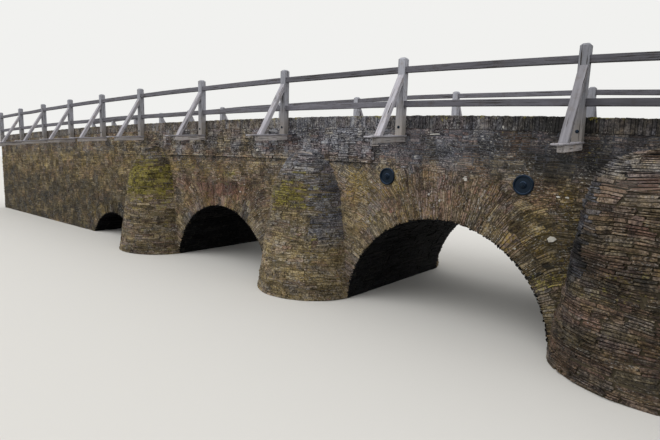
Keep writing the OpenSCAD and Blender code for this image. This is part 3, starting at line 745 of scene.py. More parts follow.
def stone_values(centres, rng, kind):
    """Tone, warmth, ironstone, bloom, moss, damp and painted shade, paleness and dirt of each stone, from where it
    lies and a little chance. The back of the bridge reads the same as the front."""
    x, y, z = centres.T
    n = len(x)
    depth = top_line(x) - z
    chance = rng.random(n)
    # how much a stone belongs to the upper courses, their grey middle, the shaded right, a painted shade, and the far
    # left, darker low down
    upper = smooth(1 - (depth - 0.60) / 0.50) * (1 - 0.5 * smooth((-5.5 - x) / 2))
    grey = upper * smooth((x + 2.4) / 1.6) * (1 - 0.45 * smooth((x - 3.2) / 1.2))
    shaded = smooth((x - 3.6) / 2.0) * smooth((14 - x) / 5)
    far = smooth((-6.6 - x) / 1.5)
    tone = 0.46 - 0.06 * upper + rng.normal(0, 0.085, n) * (1 - 0.55 * upper)
    light, dark = rng.uniform(0.72, 0.95, n), rng.uniform(0.15, 0.28, n)
    tone = np.where(chance < 0.035, light, np.where(chance > 0.95, dark, tone))
    tone += stains("tone", x, z) + 0.07 * grey * smooth((3.0 - x) / 2.0) + 0.05 * blob(x, z, -3.3, 2.3, 2.2, 0.9)
    low_left = far * smooth((2.6 - z) / 1.2)
    # painted shade: the shaded right, most of all in its upper courses, gets a lower tone here and more damp below, the
    # damp value carrying shade as well
    tone += 0.12 * ripple(x, z, 0.60, 3) + 0.10 * ripple(x, z, 0.27, 33) - 0.18 * low_left - 0.10 * shaded
    tone -= 0.06 * upper * smooth((x - 2.4) / 1.2) - 0.14 * smooth((-4 - x) / 2) * ripple(x, z, 0.75, 37)
    rose = 0.14 + 0.25 * ripple(x, z, 1.0, 2) + rng.normal(0, 0.16, n) + stains("rose", x, z)
    warm = 0.78 - 0.50 * upper - 0.28 * grey + 0.22 * ripple(x, z, 1.1, 4)
    warm = warm + rng.normal(0, 0.12, n) * (1 - 0.5 * upper) + stains("warm", x, z)
    warm += 0.22 * shaded + 0.22 * smooth((-4.5 - x) / 2.0)
    ochre = 0.10 + 0.32 * ripple(x, z, 0.8, 5) + 0.25 * shaded * smooth((2.4 - z) / 0.8)
    ochre = ochre + 0.30 * smooth((-4.5 - x) / 2.0)
    ochre = (ochre + 1.3 * stains("ochre", x, z)) * (1 - 0.80 * upper)
    moss = -0.36 + 0.22 * ripple(x, z, 0.8, 7) + 0.25 * smooth(1 - z / 0.5) + stains("moss", x, z)
    damp_and_shade = 0.03 + 0.05 * upper + 0.20 * ripple(x, z, 1.1, 9) + 0.12 * ripple(x, z, 0.42, 10) + 0.34 * shaded
    damp_and_shade += 0.15 * smooth(1 - z / 0.4) + 0.52 * far * smooth((2.6 - z) / 1.4) + 1.2 * stains("damp_and_shade", x, z)
    damp_and_shade += 0.20 * upper * smooth((x - 2.4) / 1.2)
    # painted shadow: a dark band under the ledge and a dark upright line beside its end, carried by the damp value, and
    # the stones just above the ledge are paler
    below = depth - COPING_H - LEDGE
    left = (x < LEDGE_END) & (x > -8)
    damp_and_shade += 0.55 * left * (below > 0) * smooth(1 - below / 0.10) + 0.4 * blob(x, z, 1.90, 3.2, 0.05, 0.28) * (below < 0)
    tone += 0.20 * left * (below < 0) * smooth(1 + below / 0.07)
    pale = 0.28 + 0.40 * ripple(x, z, 0.7, 11) + 0.25 * grey + 0.3 * blob(x, z, 3.2, 2.3, 0.7, 0.35)
    soiled = np.clip(0.42 + 0.45 * upper + 0.40 * ripple(x, z, 0.6, 35), 0.1, 1.0)
    if kind == "nose":
        tone = 0.5 + 0.55 * (tone - 0.46 - stains("tone", x, z))
        tone, warm, rose, ochre, moss, damp_and_shade = nose_values(x, y, z, tone, warm, rose, ochre, moss, damp_and_shade, rng)
        pale = 0.30 + 0.35 * smooth((z - 2.3) / 0.6) + 0.35 * ripple(x, z, 0.5, 19)
        third = np.abs(x - NOSES[2]) < NOSE_REACH
        pale = np.where(third, 0.45 * pale, pale)
        soiled = np.where(third, 0.25, 0.65 + 0.2 * smooth((1.3 - z) / 0.3))
    # painted shade: the stones under the arches are made nearly black through the highest damp value, which here stands
    # for shade
    if kind == "soffit":
        damp_and_shade = 1.5 + 0 * x
        warm, rose = 0.04 + rng.normal(0, 0.06, n), rose * 0
        moss, ochre, pale = moss * 0 - 1.0, ochre * 0, pale * 0.05
    if kind == "coping":
        soiled = 0.6
        # painted shade: the coping is darker, evener and less pale towards the shaded right
        tone, rose = 0.44 + (tone - 0.42) * (0.5 - 0.2 * shaded), rose * 0.5
        warm = 0.10 + 0.30 * shaded + 0.35 * smooth((-0.6 - x) / 1.0) + rng.normal(0, 0.10, n)
        damp_and_shade = 0.24 + 0.12 * ripple(x, z, 1.6, 23) + 0.46 * shaded + 0.16 * smooth((x - 1.6) / 1.2)
        ochre = ochre * 0 + 0.03
        moss = -0.65 + 0.3 * ripple(x, y, 1.0, 25)
        pale = 0.30 + 0.35 * ripple(x, z, 0.5, 27) - 0.25 * shaded
    pale = np.clip(pale * (1 - 0.6 * shaded * upper), 0, 0.85)
    if kind in ("wall", "coping"):
        spots = np.array(WHITE_STONES)
        white = (np.hypot(x[:, None] - spots[:, 0], z[:, None] - spots[:, 1]) < 0.004).any(axis=1)
        tone, pale, damp_and_shade, moss = tone + white, pale + white, damp_and_shade * ~white, moss - 1.0 * white
    found = {"tone": tone, "warm": warm, "rose": rose, "ochre": ochre, "pale": pale}
    found = {k: np.clip(v, 0, 1) for k, v in found.items()}
    found["moss"] = np.clip(moss, -1, 1)
    found["damp_and_shade"] = np.clip(damp_and_shade, 0, 1.5)
    found["edge"] = 1 - np.broadcast_to(soiled, n)
    return found


def nose_values(x, y, z, tone, warm, rose, ochre, moss, damp_and_shade, rng):
    """The cutwaters' values, by height and by the angle round each one from its right flank."""
    for number, px in enumerate(NOSES):
        near = np.abs(x - px) < NOSE_REACH
        phi = np.degrees(np.arctan2(np.abs(y) - FACE + NOSE_SET, x - px))
        high = smooth((z - 2.35) / 0.45)
        right = smooth((66 - phi) / 26) * smooth((z - 1.0) / 0.7)
        flank = smooth((phi - 136) / 10) * smooth((3.0 - z) / 0.3) * smooth((z - 0.9) / 0.7)
        foot = smooth((1.35 - z) / 0.5)
        cold = (0.25 * high, np.maximum(0.95 * right, high), np.maximum(0.42 * high, flank))[number]
        warmth = 0.80 - 0.78 * cold + 0.14 * ripple(x, z, 0.5, 12) + rng.normal(0, 0.08, len(x))
        warm = np.where(near, warmth, warm)
        # painted shade: a lower tone on cutwater 2's right flank and on cutwater 3's flank band
        bright = (
            0.02 - 0.04 * foot + 0.14 * ripple(x + y, z, 0.40, 41) - 0.10 * blob(phi, z, 65, 2.3, 95, 0.5),
            0.16 * blob(phi, z, 90, 0.95, 45, 0.5) - 0.05 * right + 0.16 * blob(phi, z, 95, 2.72, 25, 0.05)
            + 0.10 * high,
            0.04 + 0.18 * high - 0.12 * smooth((2.0 - z) / 0.5) - 0.06 * flank
            - 0.08 * blob(phi, z, 100, 1.55, 35, 0.3) + 0.32 * blob(phi, z, 115, 2.78, 40, 0.08),
        )[number]
        tone = np.where(near, tone + bright, tone)
        rust = (0.15, 0.05 * (1 - cold), 0.40 - 0.40 * flank - 0.30 * smooth((z - 2.80) / 0.15))[number]
        rose = np.where(near, rust + 0.25 * ripple(x + y, z, 0.5, 14) + rng.normal(0, 0.12, len(x)), rose)
        bloom = (0.25 * (1 - foot), 0.25 * foot + 0.15 * (z < 2.3), 0.15 * ripple(x, z, 0.5, 16))[number]
        ochre = np.where(near, (bloom + 0.15 * ripple(x, z, 0.7, 18)) * (1 - cold), ochre)
        growth = (
            1.20 * blob(phi, z, 65, 2.20, 95, 0.65) + 0.14,
            1.45 * blob(phi, z, 84, 2.17, 33, 0.33) + 0.20 * blob(phi, z, 50, 1.2, 40, 0.5)
            - 0.3 * blob(phi, z, 140, 2.2, 15, 1),
            0.50 * blob(phi, z, 105, 1.5, 30, 0.28) + 0.25 * blob(phi, z, 130, 2.2, 8, 0.5) - 0.08,
        )[number]
        pads = 0.3 * ripple(x + y, z, 0.16, 43) * (growth > 0.1) * (number < 2)
        moss = np.where(near, -0.36 + growth + 0.22 * ripple(x + y, z, 0.45, 13) + pads, moss)
        # painted shade: more damp on cutwater 2's right flank and on cutwater 3's flank band, the damp value carrying
        # shade as well
        wet_and_shade = (
            0.06 + 0.10 * foot,
            0.02 + 0.36 * right * (1 - 0.5 * high) + 0.06 * high,
            0.40 - 0.30 * high + 0.28 * flank + 0.18 * blob(phi, z, 100, 1.55, 35, 0.3),
        )[number]
        damp_and_shade = np.where(near, wet_and_shade + 0.13 * ripple(x + y, z, 0.8, 15) + 0.08 * ripple(x + y, z, 0.3, 17), damp_and_shade)
    return tone, warm, rose, ochre, moss, damp_and_shade


# Material and slot of each kind of stone
STONE_KINDS = {
    "wall": ("rubble_sandstone", "wall_stone"),
    "nose": ("rubble_sandstone_cutwater", "cutwater_stone"),
    "coping": ("rubble_sandstone_coping", "coping_stone"),
    # the stones under the arches are painted nearly black as shade
    "soffit": ("rubble_sandstone_sooty", "arch_stone"),
}


def finish_stones(name, rings, bed, rng, kind):
    """Turns stones' rings into one piece, with each stone's values at all its points."""
    count = len(rings)
    found = stone_values(rings[:, 1].mean(axis=1), rng, kind)
    values = {k: np.repeat(v, 2 * CORNERS) for k, v in found.items()}
    values["bed"] = bed.reshape(-1, 3)
    values["edge"] = values["edge"] * np.tile(np.repeat([1.0, 0.0], CORNERS), count)
    return make_piece(name, rings.reshape(-1, 3), close_stones(count), values, *STONE_KINDS[kind])


def ledge(x):
    """How far a stone above the ledge stands out from the wall below it, by X: the upper wall is set forward on the
    left of the main arch, where it ends at an upright joint."""
    return 0.045 * smooth((LEDGE_END - x) / 0.03) * smooth((x + 9.0) / 1.0)


def band_line(x):
    """Height at which level courses take over from the fans: at the ledge, or lower over the second arch and on the
    right of the main one."""
    _, az, r = ARCHES[1]
    low = top_line(x) - COPING_H - (az + r + 0.62)
    drop = LEDGE + low_share(x) * np.maximum(low - LEDGE, 0) + 0.10 * smooth((x - 1.9) / 0.5)
    drop = drop + 0.35 * smooth((x - 4.2) / 1.2)
    rough = 0.05 * ripple(x, x * 0, 1.9, 31) + 0.045 * ripple(x, x * 0, 0.33, 32)
    return top_line(x) - COPING_H - drop + rough * np.maximum(smooth((x - 1.9) / 0.3), low_share(x))


def low_share(x):
    """1 over the second arch and 0 past its piers."""
    return smooth((x - NOSES[0] - 0.2) / 0.6) * smooth((NOSES[1] - 0.2 - x) / 0.6)


def on_face(x, z, side):
    """Points on the face of a long wall, and the way out of it."""
    at = np.stack([x, np.full_like(x, side * FACE), z], axis=-1)
    way_out = np.zeros_like(at)
    way_out[..., 1] = side
    return at, way_out


def fan_surface(number, low, high, reach, side):
    """Courses that leave the arch square to its curve and bend until they run level. A point is the arch's curve at
    arc length a, carried on for a length b along a direction that eases from the arch's radius to a far direction:
    level for the haunches, upright for the crown. The whole then wanders by two ripples."""
    x, z, r = ARCHES[number]
    theta = np.linspace(low, high, 361)
    step = 0.03
    s = np.arange(0.0, reach + step, step)
    lean = np.minimum(theta, math.pi - theta)
    far = math.pi / 2 * smooth((lean - math.radians(50)) / math.radians(36))
    turn = smooth((s + step / 2) / 1.25)[None, :]
    way = lean[:, None] * (1 - turn) + far[:, None] * turn
    sense = np.where(theta <= math.pi / 2, 1.0, -1.0)[:, None]
    run, rise = (
        np.concatenate([np.zeros((len(theta), 1)), (np.cumsum(share, axis=1) * step)[:, :-1]], axis=1)
        for share in (np.cos(way) * sense, np.sin(way))
    )
    grid_x = x + r * np.cos(theta)[:, None] + run
    grid_z = z + r * np.sin(theta)[:, None] + rise
    turn_step = (high - low) / (len(theta) - 1)

    def surface(a, b, *_):
        i = np.clip((a / r - low) / turn_step, 0, len(theta) - 1.001)
        j = np.clip(b / step, 0, len(s) - 1.001)
        i0, j0 = i.astype(int), j.astype(int)
        u, v = i - i0, j - j0
        px, pz = (
            grid[i0, j0] * (1 - u) * (1 - v) + grid[i0 + 1, j0] * u * (1 - v)
            + grid[i0, j0 + 1] * (1 - u) * v + grid[i0 + 1, j0 + 1] * u * v
            for grid in (grid_x, grid_z)
        )
        loose = np.clip(b / 0.3, 0, 1)
        wx = px + loose * (0.016 * ripple(px, pz, 0.55, 41) + 0.005 * ripple(px, pz, 0.19, 42))
        wz = pz + loose * (0.016 * ripple(px, pz, 0.60, 43) + 0.005 * ripple(px, pz, 0.21, 44))
        return on_face(wx, wz, side)

    return surface


def level_surface(side):
    """Level courses on a wall's face: a is the depth below a line that follows the hump, and b is X."""

    def surface(a, b, *_):
        loose = np.minimum(np.abs(a - LEDGE) / 0.1, 1.0)
        drop = a + loose * (0.012 * ripple(b, a, 0.9, 45) + 0.005 * ripple(b, a, 0.23, 46))
        return on_face(b, top_line(b) - COPING_H - drop, side)

    return surface


def in_nose(x, z, slack):
    """True where a wall stone lies behind a cutwater, by more than the slack."""
    hidden = np.zeros(np.shape(x), dtype=bool)
    for px, (pz, pr) in zip(NOSES, PROFILES):
        r = np.interp(z, pz, pr, right=0.0)
        half = np.sqrt(np.maximum(r * r - NOSE_SET * NOSE_SET, 0.0))
        hidden |= np.abs(x - px) < half - slack
    return hidden


def odd_stones(side, x0, x1, rng):
    """Single stones of another quarry set in the rubble between two X's: each a six-cornered lump that stands a little
    out of the wall."""
    spots = np.array([s for s in WHITE_STONES if x0 < s[0] < x1]).reshape(-1, 4)
    n = len(spots)
    turn = np.arange(CORNERS) * math.tau / CORNERS + rng.uniform(-0.35, 0.35, (n, CORNERS))
    far = rng.uniform(0.75, 1.15, (n, CORNERS)) / (1.0 + 0.35 * np.sin(turn))
    flat = np.stack([np.cos(turn) * far, np.sin(turn) * far], axis=-1) * spots[:, None, 2:4]
    flat -= flat.mean(axis=1, keepdims=True)
    if side > 0:
        flat = flat[:, ::-1]
    rings = []
    for grown, out in ((1.15, -0.02), (1.0, 0.019)):
        y = side * (FACE + out + rng.normal(0, 0.003, (n, CORNERS)))
        y += side * (spots[:, 1:2] > top_line(spots[:, 0:1]) - COPING_H - LEDGE) * ledge(spots[:, 0:1])
        rings.append(np.stack([spots[:, 0:1] + flat[..., 0] * grown, y, spots[:, 1:2] + flat[..., 1] * grown], axis=-1))
    rings = np.stack(rings, axis=1)
    return rings, rings + rng.uniform(-50, 50, (n, 1, 1, 3))


def keep_stones(rings):
    """True for the stones that are not wholly behind a cutwater and were not squeezed to slivers by trimming."""
    x, z = rings[:, 1, :, 0], rings[:, 1, :, 2]
    size = np.sort(np.stack([np.ptp(x, axis=1), np.ptp(z, axis=1)], axis=1), axis=1)
    return ~in_nose(x, z, 0.08).all(axis=1) & (size[:, 0] > 0.012) & (size[:, 1] > 0.035)


def clear_plates(rings):
    """Presses back the stones under the tie plates so that the plates lie on them."""
    x, z, y = rings[:, 1, :, 0], rings[:, 1, :, 2], rings[:, 1, :, 1]
    for px, pz in PLATES:
        near = (np.hypot(x - px, z - pz) < PLATE_R + 0.012).any(axis=1)
        low = FACE + 0.003 + 0.1 * np.maximum(np.abs(y) - FACE, 0)
        y = np.where(near[:, None], np.sign(y) * np.minimum(np.abs(y), low), y)
    rings[:, 1, :, 1] = y
    return rings


def wall_stones(side_name, number):
    """The stones of one bay of a long wall, from cutwater to cutwater. The two inner arches have fans that reach up to
    the ledge, the two outer arches have a ring of stones on edge, and level courses fill the rest."""
    side = SIDES[side_name]
    sizes = bpy.context.scene.bridge_masonry
    rng = draws("walls", side, 10 * number)
    mids = [LEFT, *NOSES, RIGHT]
    x0, x1 = mids[number], mids[number + 1]
    ax, az, r = ARCHES[number]
    inner = number in (1, 2)
    thick, long = sizes.thickness * (0.89 if inner else 1.16), sizes.stone_length * (0.86 if inner else 1.22)
    pitch = 0.094 if inner else 0.12
    laid = []

    def trim_to(limit, gap):
        """Keeps points within the bay and on one side of the line between the fans and the level courses."""

        def trim(at):
            px, pz = np.clip(at[..., 0], x0 + 0.003, x1 - 0.003), np.maximum(at[..., 2], 0.005)
            if inner:
                pz = limit(pz, band_line(px) + gap)
            else:
                pull = limit(1.0, (r + FAN_RING + gap) / np.hypot(px - ax, pz - az))
                px, pz = ax + (px - ax) * pull, az + (pz - az) * pull
            return np.stack([px, at[..., 1], np.maximum(pz, 0.005)], axis=-1)

        return trim

    def lay(surface, edges, start, end, margin, low, trim, snug, lip, first=None):
        """Stones between the edges that have a corner above this height and in the fans by more than the margin, or
        out of them if the margin is negative."""
        n = len(edges) - 1
        usual = long * rng.uniform(0.75, 1.2, n)
        cells = lay_courses(surface, edges, np.full(n, start), np.full(n, end), usual, thick, rng, first=first)
        px, _, pz = np.moveaxis([surface(cells[:, i], cells[:, j])[0] for i in (0, 1) for j in (2, 3)], -1, 0)
        share = band_line(px) - pz if inner else r + FAN_RING - np.hypot(px - ax, pz - az)
        within = (share * np.sign(margin) > abs(margin)) & (pz > low)
        if margin > 0:
            within &= (px > x0) & (px < x1)
        cells = cells[within.any(axis=0)]
        look = {"spread": 0.004, "trim": trim, "snug": snug, "lip": lip}
        return raise_stones(surface, cells, rng, sizes.joint, sizes.proud, SUNK, **look)

    for low, high, out in ((0.0, math.pi / 2, x1 - ax - r * 0.5), (math.pi / 2, math.pi, ax - x0 - r * 0.5)):
        reach = out + 1.3 if inner else FAN_RING + 0.1
        surface = fan_surface(number, low, high, reach, side)
        edges = parted(low * r, (high - low) * r, rng.uniform(0.5, 1.6, int((high - low) * r / pitch)))
        laid.append(lay(surface, edges, 0.0, reach, 0.02, 0.03, trim_to(np.minimum, -0.004), 0.70, 0.0020, first=0.28))

    deep = 1.55 if inner else float(TOP_Z.max()) - COPING_H
    edges = [np.zeros(1)]
    for high, low in ((0.0, LEDGE), (LEDGE, deep)):
        edges.append(parted(high, low - high, rng.uniform(0.5, 1.6, int((low - high) / pitch)))[1:])
    edges = np.concatenate(edges)
    level = lay(level_surface(side), edges, x0, x1, -0.02, 0.02, trim_to(np.maximum, 0.004), 0.80, 0.0014)
    rings = level[0]
    middle = rings[:, 1].mean(axis=1)
    above = top_line(middle[:, 0]) - COPING_H - LEDGE < middle[:, 2]
    rings[..., 1] += side * (above * ledge(middle[:, 0]))[:, None, None]
    rings[:, 1, :, 1] -= side * 0.45 * (above[:, None] * (np.abs(rings[:, 1, :, 1]) - FACE - ledge(rings[:, 1, :, 0])))
    laid += [level, odd_stones(side, x0, x1, rng)]
    rings, bed = (np.concatenate(parts) for parts in zip(*laid))
    keep = keep_stones(rings)
    name = f"wall_stones_{side_name}_{number + 1}"
    return finish_stones(name, clear_plates(rings[keep]), bed[keep], rng, "wall")


def soffit_stones(number):
    """Long thin stones under one arch, laid from face to face: a is the arc length along the arch's curve and b is Y,
    along the barrel."""
    sizes = bpy.context.scene.bridge_masonry
    x, z, r = ARCHES[number]
    rng = draws("soffits", 0, number)
    low = math.asin(min(1.0, -z / r)) + 0.004

    def surface(a, b, *_):
        t = a / r
        at = np.stack([x + r * np.cos(t), b, z + r * np.sin(t)], axis=-1)
        way_out = np.stack([-np.cos(t), np.zeros_like(t), -np.sin(t)], axis=-1)
        return at, way_out

    span = (math.pi - 2 * low) * r
    widths = rng.uniform(0.6, 1.5, int(span / 0.16))
    edges = parted(low * r, span, widths)
    n = len(widths)
    wide = FACE + 0.012
    long = np.full(n, sizes.stone_length * 1.8)
    cells = lay_courses(surface, edges, np.full(n, -wide), np.full(n, wide), long, sizes.thickness * 1.5, rng)
    rings, bed = raise_stones(surface, cells, rng, sizes.joint, 0.014, 0.03)
    rings[..., 1] = np.clip(rings[..., 1], -FACE - 0.014, FACE + 0.014)
    rings[..., 2] = np.maximum(rings[..., 2], GROUND)
    return finish_stones(f"soffit_stones_{number + 1}", rings, bed, rng, "soffit")


# How a cutwater is laid: the heights of its courses, how far they wander, how far each stands out and how unevenly,
# its stones' length and joint in shares of the usual, how far they stand out, how true they are and their worn lip
NEAT = {
    "course": (0.036, 0.066), "wander": 0.012, "set": 0.010, "stagger": 0.005,
    "long": 1.0, "joint": 1.0, "proud": 0.010, "snug": 0.80, "lip": 0.0018,
}
ROUGH = {
    "course": (0.045, 0.125), "wander": 0.020, "set": 0.014, "stagger": 0.013,
    "long": 1.15, "joint": 1.5, "proud": 0.020, "snug": 0.66, "lip": 0.003,
}


def nose_stones(number, side_name):
    """Thin level courses round one cutwater: a is the height and b the angle about its axis. Each stone's face stands
    upright at the radius its course has at its foot, so the courses of the cap step back one behind the other."""
    side = SIDES[side_name]
    sizes = bpy.context.scene.bridge_masonry
    laid = ROUGH if number == 2 else NEAT
    px = NOSES[number]
    pz, pr = PROFILES[number]
    rng = draws("cutwaters", side, 10 * number)
    axis_y = side * (FACE - NOSE_SET)

    def surface(a, b, middle=None, *_):
        z = a + laid["wander"] * ripple(b, a, 0.9, 47 + number) + 0.005 * ripple(b, a, 0.25, 49 + number)
        height = a if middle is None else middle
        course = np.clip(np.searchsorted(edges, height) - 1, 0, len(jut) - 1)
        r = np.interp(height - 0.022, pz, pr) + jut[course]
        r = r + 0.008 * ripple(b, a, 0.9, 51 + number)
        at = np.stack([px + r * np.cos(b), axis_y + side * r * np.sin(b), z], axis=-1)
        way_out = np.stack([np.cos(b) + 0 * z, side * np.sin(b) + 0 * z, 0 * z], axis=-1)
        return at, way_out

    top = pz.max() - 0.01
    edges = [0.006]
    while edges[-1] < top - 0.04:
        rise = rng.uniform(*laid["course"])
        if laid is NEAT and edges[-1] < 2.2 and rng.random() < 0.3:
            rise *= 1.7
        edges.append(edges[-1] + rise)
    edges = np.minimum(np.array(edges), top)
    jut = laid["set"] + rng.uniform(-1, 1, len(edges)) * laid["stagger"]
    mid = (edges[:-1] + edges[1:]) / 2
    radius = np.interp(mid, pz, pr)
    start = np.arcsin(np.clip(NOSE_SET / radius, -1, 0.999)) - 0.03
    usual = sizes.stone_length * laid["long"] * rng.uniform(1.1, 2.1, len(mid)) / radius
    cells = lay_courses(surface, edges, start, math.pi - start, usual, sizes.thickness, rng)
    look = {"spread": 0.004, "snug": laid["snug"], "lip": laid["lip"]}
    rings, bed = raise_stones(surface, cells, rng, sizes.joint * laid["joint"], laid["proud"], 0.10, **look)
    rings[..., 1] = np.clip(rings[..., 1], CAD_BOX[0].y + 0.001, CAD_BOX[1].y - 0.001)
    rings[..., 2] = np.maximum(rings[..., 2], GROUND)
    return finish_stones(f"cutwater_stones_{side_name}_{number + 1}", rings, bed, rng, "nose")


def coping_stones(side_name):
    """Stones on edge along the wall's top: thin slabs side by side and two deep, each a ring of eight points carried
    through the wall in three rings, with its own height, lean and set."""
    side = SIDES[side_name]
    sizes = bpy.context.scene.bridge_masonry
    rng = draws("copings", side)
    thick = rng.uniform(0.55, 1.5, int((RIGHT - LEFT) / sizes.coping_thickness))
    edges = parted(LEFT, RIGHT - LEFT, thick)
    split = rng.uniform(0.35, 0.65, len(thick))
    x0, x1 = np.repeat(edges[:-1], 2), np.repeat(edges[1:], 2)
    inner = np.tile([0, 1], len(thick))
    n = len(x0)
    outer_y, room = side * (FACE + 0.020), WALL_T + 0.034
    y0 = outer_y - side * np.where(inner == 1, np.repeat(split, 2), 0.0) * room + side * rng.normal(0, 0.004, n)
    y1 = outer_y - side * np.where(inner == 1, 1.0, np.repeat(split, 2)) * room
    wide = (x1 - x0) / 2 - sizes.joint * rng.uniform(0.05, 0.42, n)
    mid = (x0 + x1) / 2
    high = top_line(mid) + 0.012 - rng.uniform(0, 1, n) ** 2 * 0.008
    low = top_line(mid) - COPING_H - 0.004 - rng.uniform(0, 0.010, n)
    share = np.array([(-1, 0.0), (1, 0.0), (1, 0.5), (1, 0.97), (0.82, 1), (-0.82, 1), (-1, 0.97), (-1, 0.5)])
    shape = share + rng.uniform(-1, 1, (n, 8, 2)) * [0.07, 0.020]
    lean = rng.normal(0, 0.005, n)
    rings, bed = [], []
    own = rng.uniform(-50, 50, (n, 1, 3))
    for depth, shrink, back in ((0.0, 0.007, False), (0.010, 0.0, False), (0.0, 0.0, True)):
        y = (y1 if back else y0) - side * depth
        px = mid[:, None] + np.clip(shape[..., 0], -1, 1) * np.maximum(wide - shrink * 0.6, 0.004)[:, None]
        px = np.clip(px + lean[:, None] * (shape[..., 1] - 0.5), LEFT + 0.002, RIGHT - 0.002)
        pz = low[:, None] + shrink + np.clip(shape[..., 1], 0, 1.02) * ((high - low)[:, None] - 2 * shrink)
        at = np.stack([px, np.repeat(y[:, None], 8, axis=1) + rng.normal(0, 0.0015, (n, 8)), pz], axis=-1)
        rings.append(at)
        bed.append(at[..., [2, 0, 1]] + own)
    rings, bed = np.stack(rings, axis=1), np.stack(bed, axis=1)
    if side > 0:
        rings, bed = rings[:, :, ::-1], bed[:, :, ::-1]
    whole = 3 * 8
    base = (np.arange(n) * whole)[:, None, None]
    k = np.arange(8)
    ends = np.stack([k, whole - 1 - k])
    faces = [(base + tube(3, 8)[:, [0, 3, 2, 1]]).reshape(-1, 4), (base + ends).reshape(-1, 8)]
    flat = rings.reshape(-1, 3)
    found = stone_values(rings.mean(axis=(1, 2)), rng, "coping")
    values = {key: np.repeat(v, whole) for key, v in found.items()}
    values["moss"] = values["moss"] + 0.9 * smooth((flat[:, 2] - top_line(flat[:, 0]) + 0.012) / 0.012)
    values["bed"] = bed.reshape(-1, 3)
    values["edge"] = np.zeros(len(flat))
    return make_piece(f"coping_stones_{side_name}", flat, faces, values, *STONE_KINDS["coping"])


def end_stones(name, x):
    """Level courses on the plain end of an approach: a is the height and b is Y."""
    sizes = bpy.context.scene.bridge_masonry
    outward = 1.0 if x > 0 else -1.0
    rng = draws("ends", x)
    plane = x - outward * END_INSET

    def surface(a, b, *_):
        at = np.stack([np.full_like(b, plane), b, a + 0.01 * ripple(b, a, 0.8, 61)], axis=-1)
        way_out = np.zeros_like(at)
        way_out[..., 0] = outward
        return at, way_out

    top = float(top_line(x)) - COPING_H
    widths = rng.uniform(0.5, 1.6, int(top / 0.12))
    edges = parted(0.008, top - 0.008, widths)
    n = len(widths)
    long = np.full(n, sizes.stone_length * 1.2)
    cells = lay_courses(surface, edges, np.full(n, -FACE), np.full(n, FACE), long, sizes.thickness * 1.15, rng)
    rings, bed = raise_stones(surface, cells, rng, sizes.joint, 0.018, SUNK, spread=0.003)
    rings[..., 0] = outward * np.minimum(outward * rings[..., 0], outward * x - 0.001)
    rings[..., 2] = np.clip(rings[..., 2], GROUND, top)
    return finish_stones(f"end_stones_{name}", rings, bed, rng, "wall")


def mortar_bed(name, node):
    """A copy of a masonry node, merged, whose plain end is drawn in so that the end stones lie within it."""
    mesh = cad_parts[node].data.copy()
    mesh.name = name
    work = bmesh.new()
    work.from_mesh(mesh)
    bmesh.ops.remove_doubles(work, verts=work.verts, dist=1e-5)
    work.to_mesh(mesh)
    work.free()
    co = np.empty(len(mesh.vertices) * 3, dtype=np.float32)
    mesh.vertices.foreach_get("co", co)
    co = co.reshape(-1, 3)
    co[:, 0] = np.clip(co[:, 0], LEFT + END_INSET, RIGHT - END_INSET)
    mesh.vertices.foreach_set("co", co.ravel())
    mesh.update()
    mesh.materials.clear()
    mesh.materials.append(bpy.data.materials["lime_mortar_washed_out"])
    piece = bpy.data.objects.new(name, mesh)
    bpy.context.scene.collection.objects.link(piece)
    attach(piece, "root")
    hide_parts(node)
    return piece


# ---------------------------------------------------------------- timber


# Each kind of timber: its material, its slot, how many rings it has, how far it bows, how worn it is and how far its
# two ends are drawn in
TIMBERS = {
    "posts": ("weathered_oak_post", "rail_timber", 26, 0.003, 1.4, (0.001, 0.030)),
    "struts": ("weathered_oak_strut", "strut_timber", 22, 0.004, 1.0, (0.0015, 0.0015)),
    "top_rails": ("weathered_oak_rail", "rail_timber", 26, 0.007, 1.0, (0.006, 0.006)),
    "mid_rails": ("weathered_oak_rail", "rail_timber", 26, 0.007, 1.0, (0.006, 0.006)),
    "needle_beams": ("weathered_oak_beam", "beam_timber", 18, 0.002, 1.6, (0.010, 0.004)),
    "sole_boards": ("weathered_oak_board", "beam_timber", 20, 0.002, 1.0, (0.006, 0.003)),
}


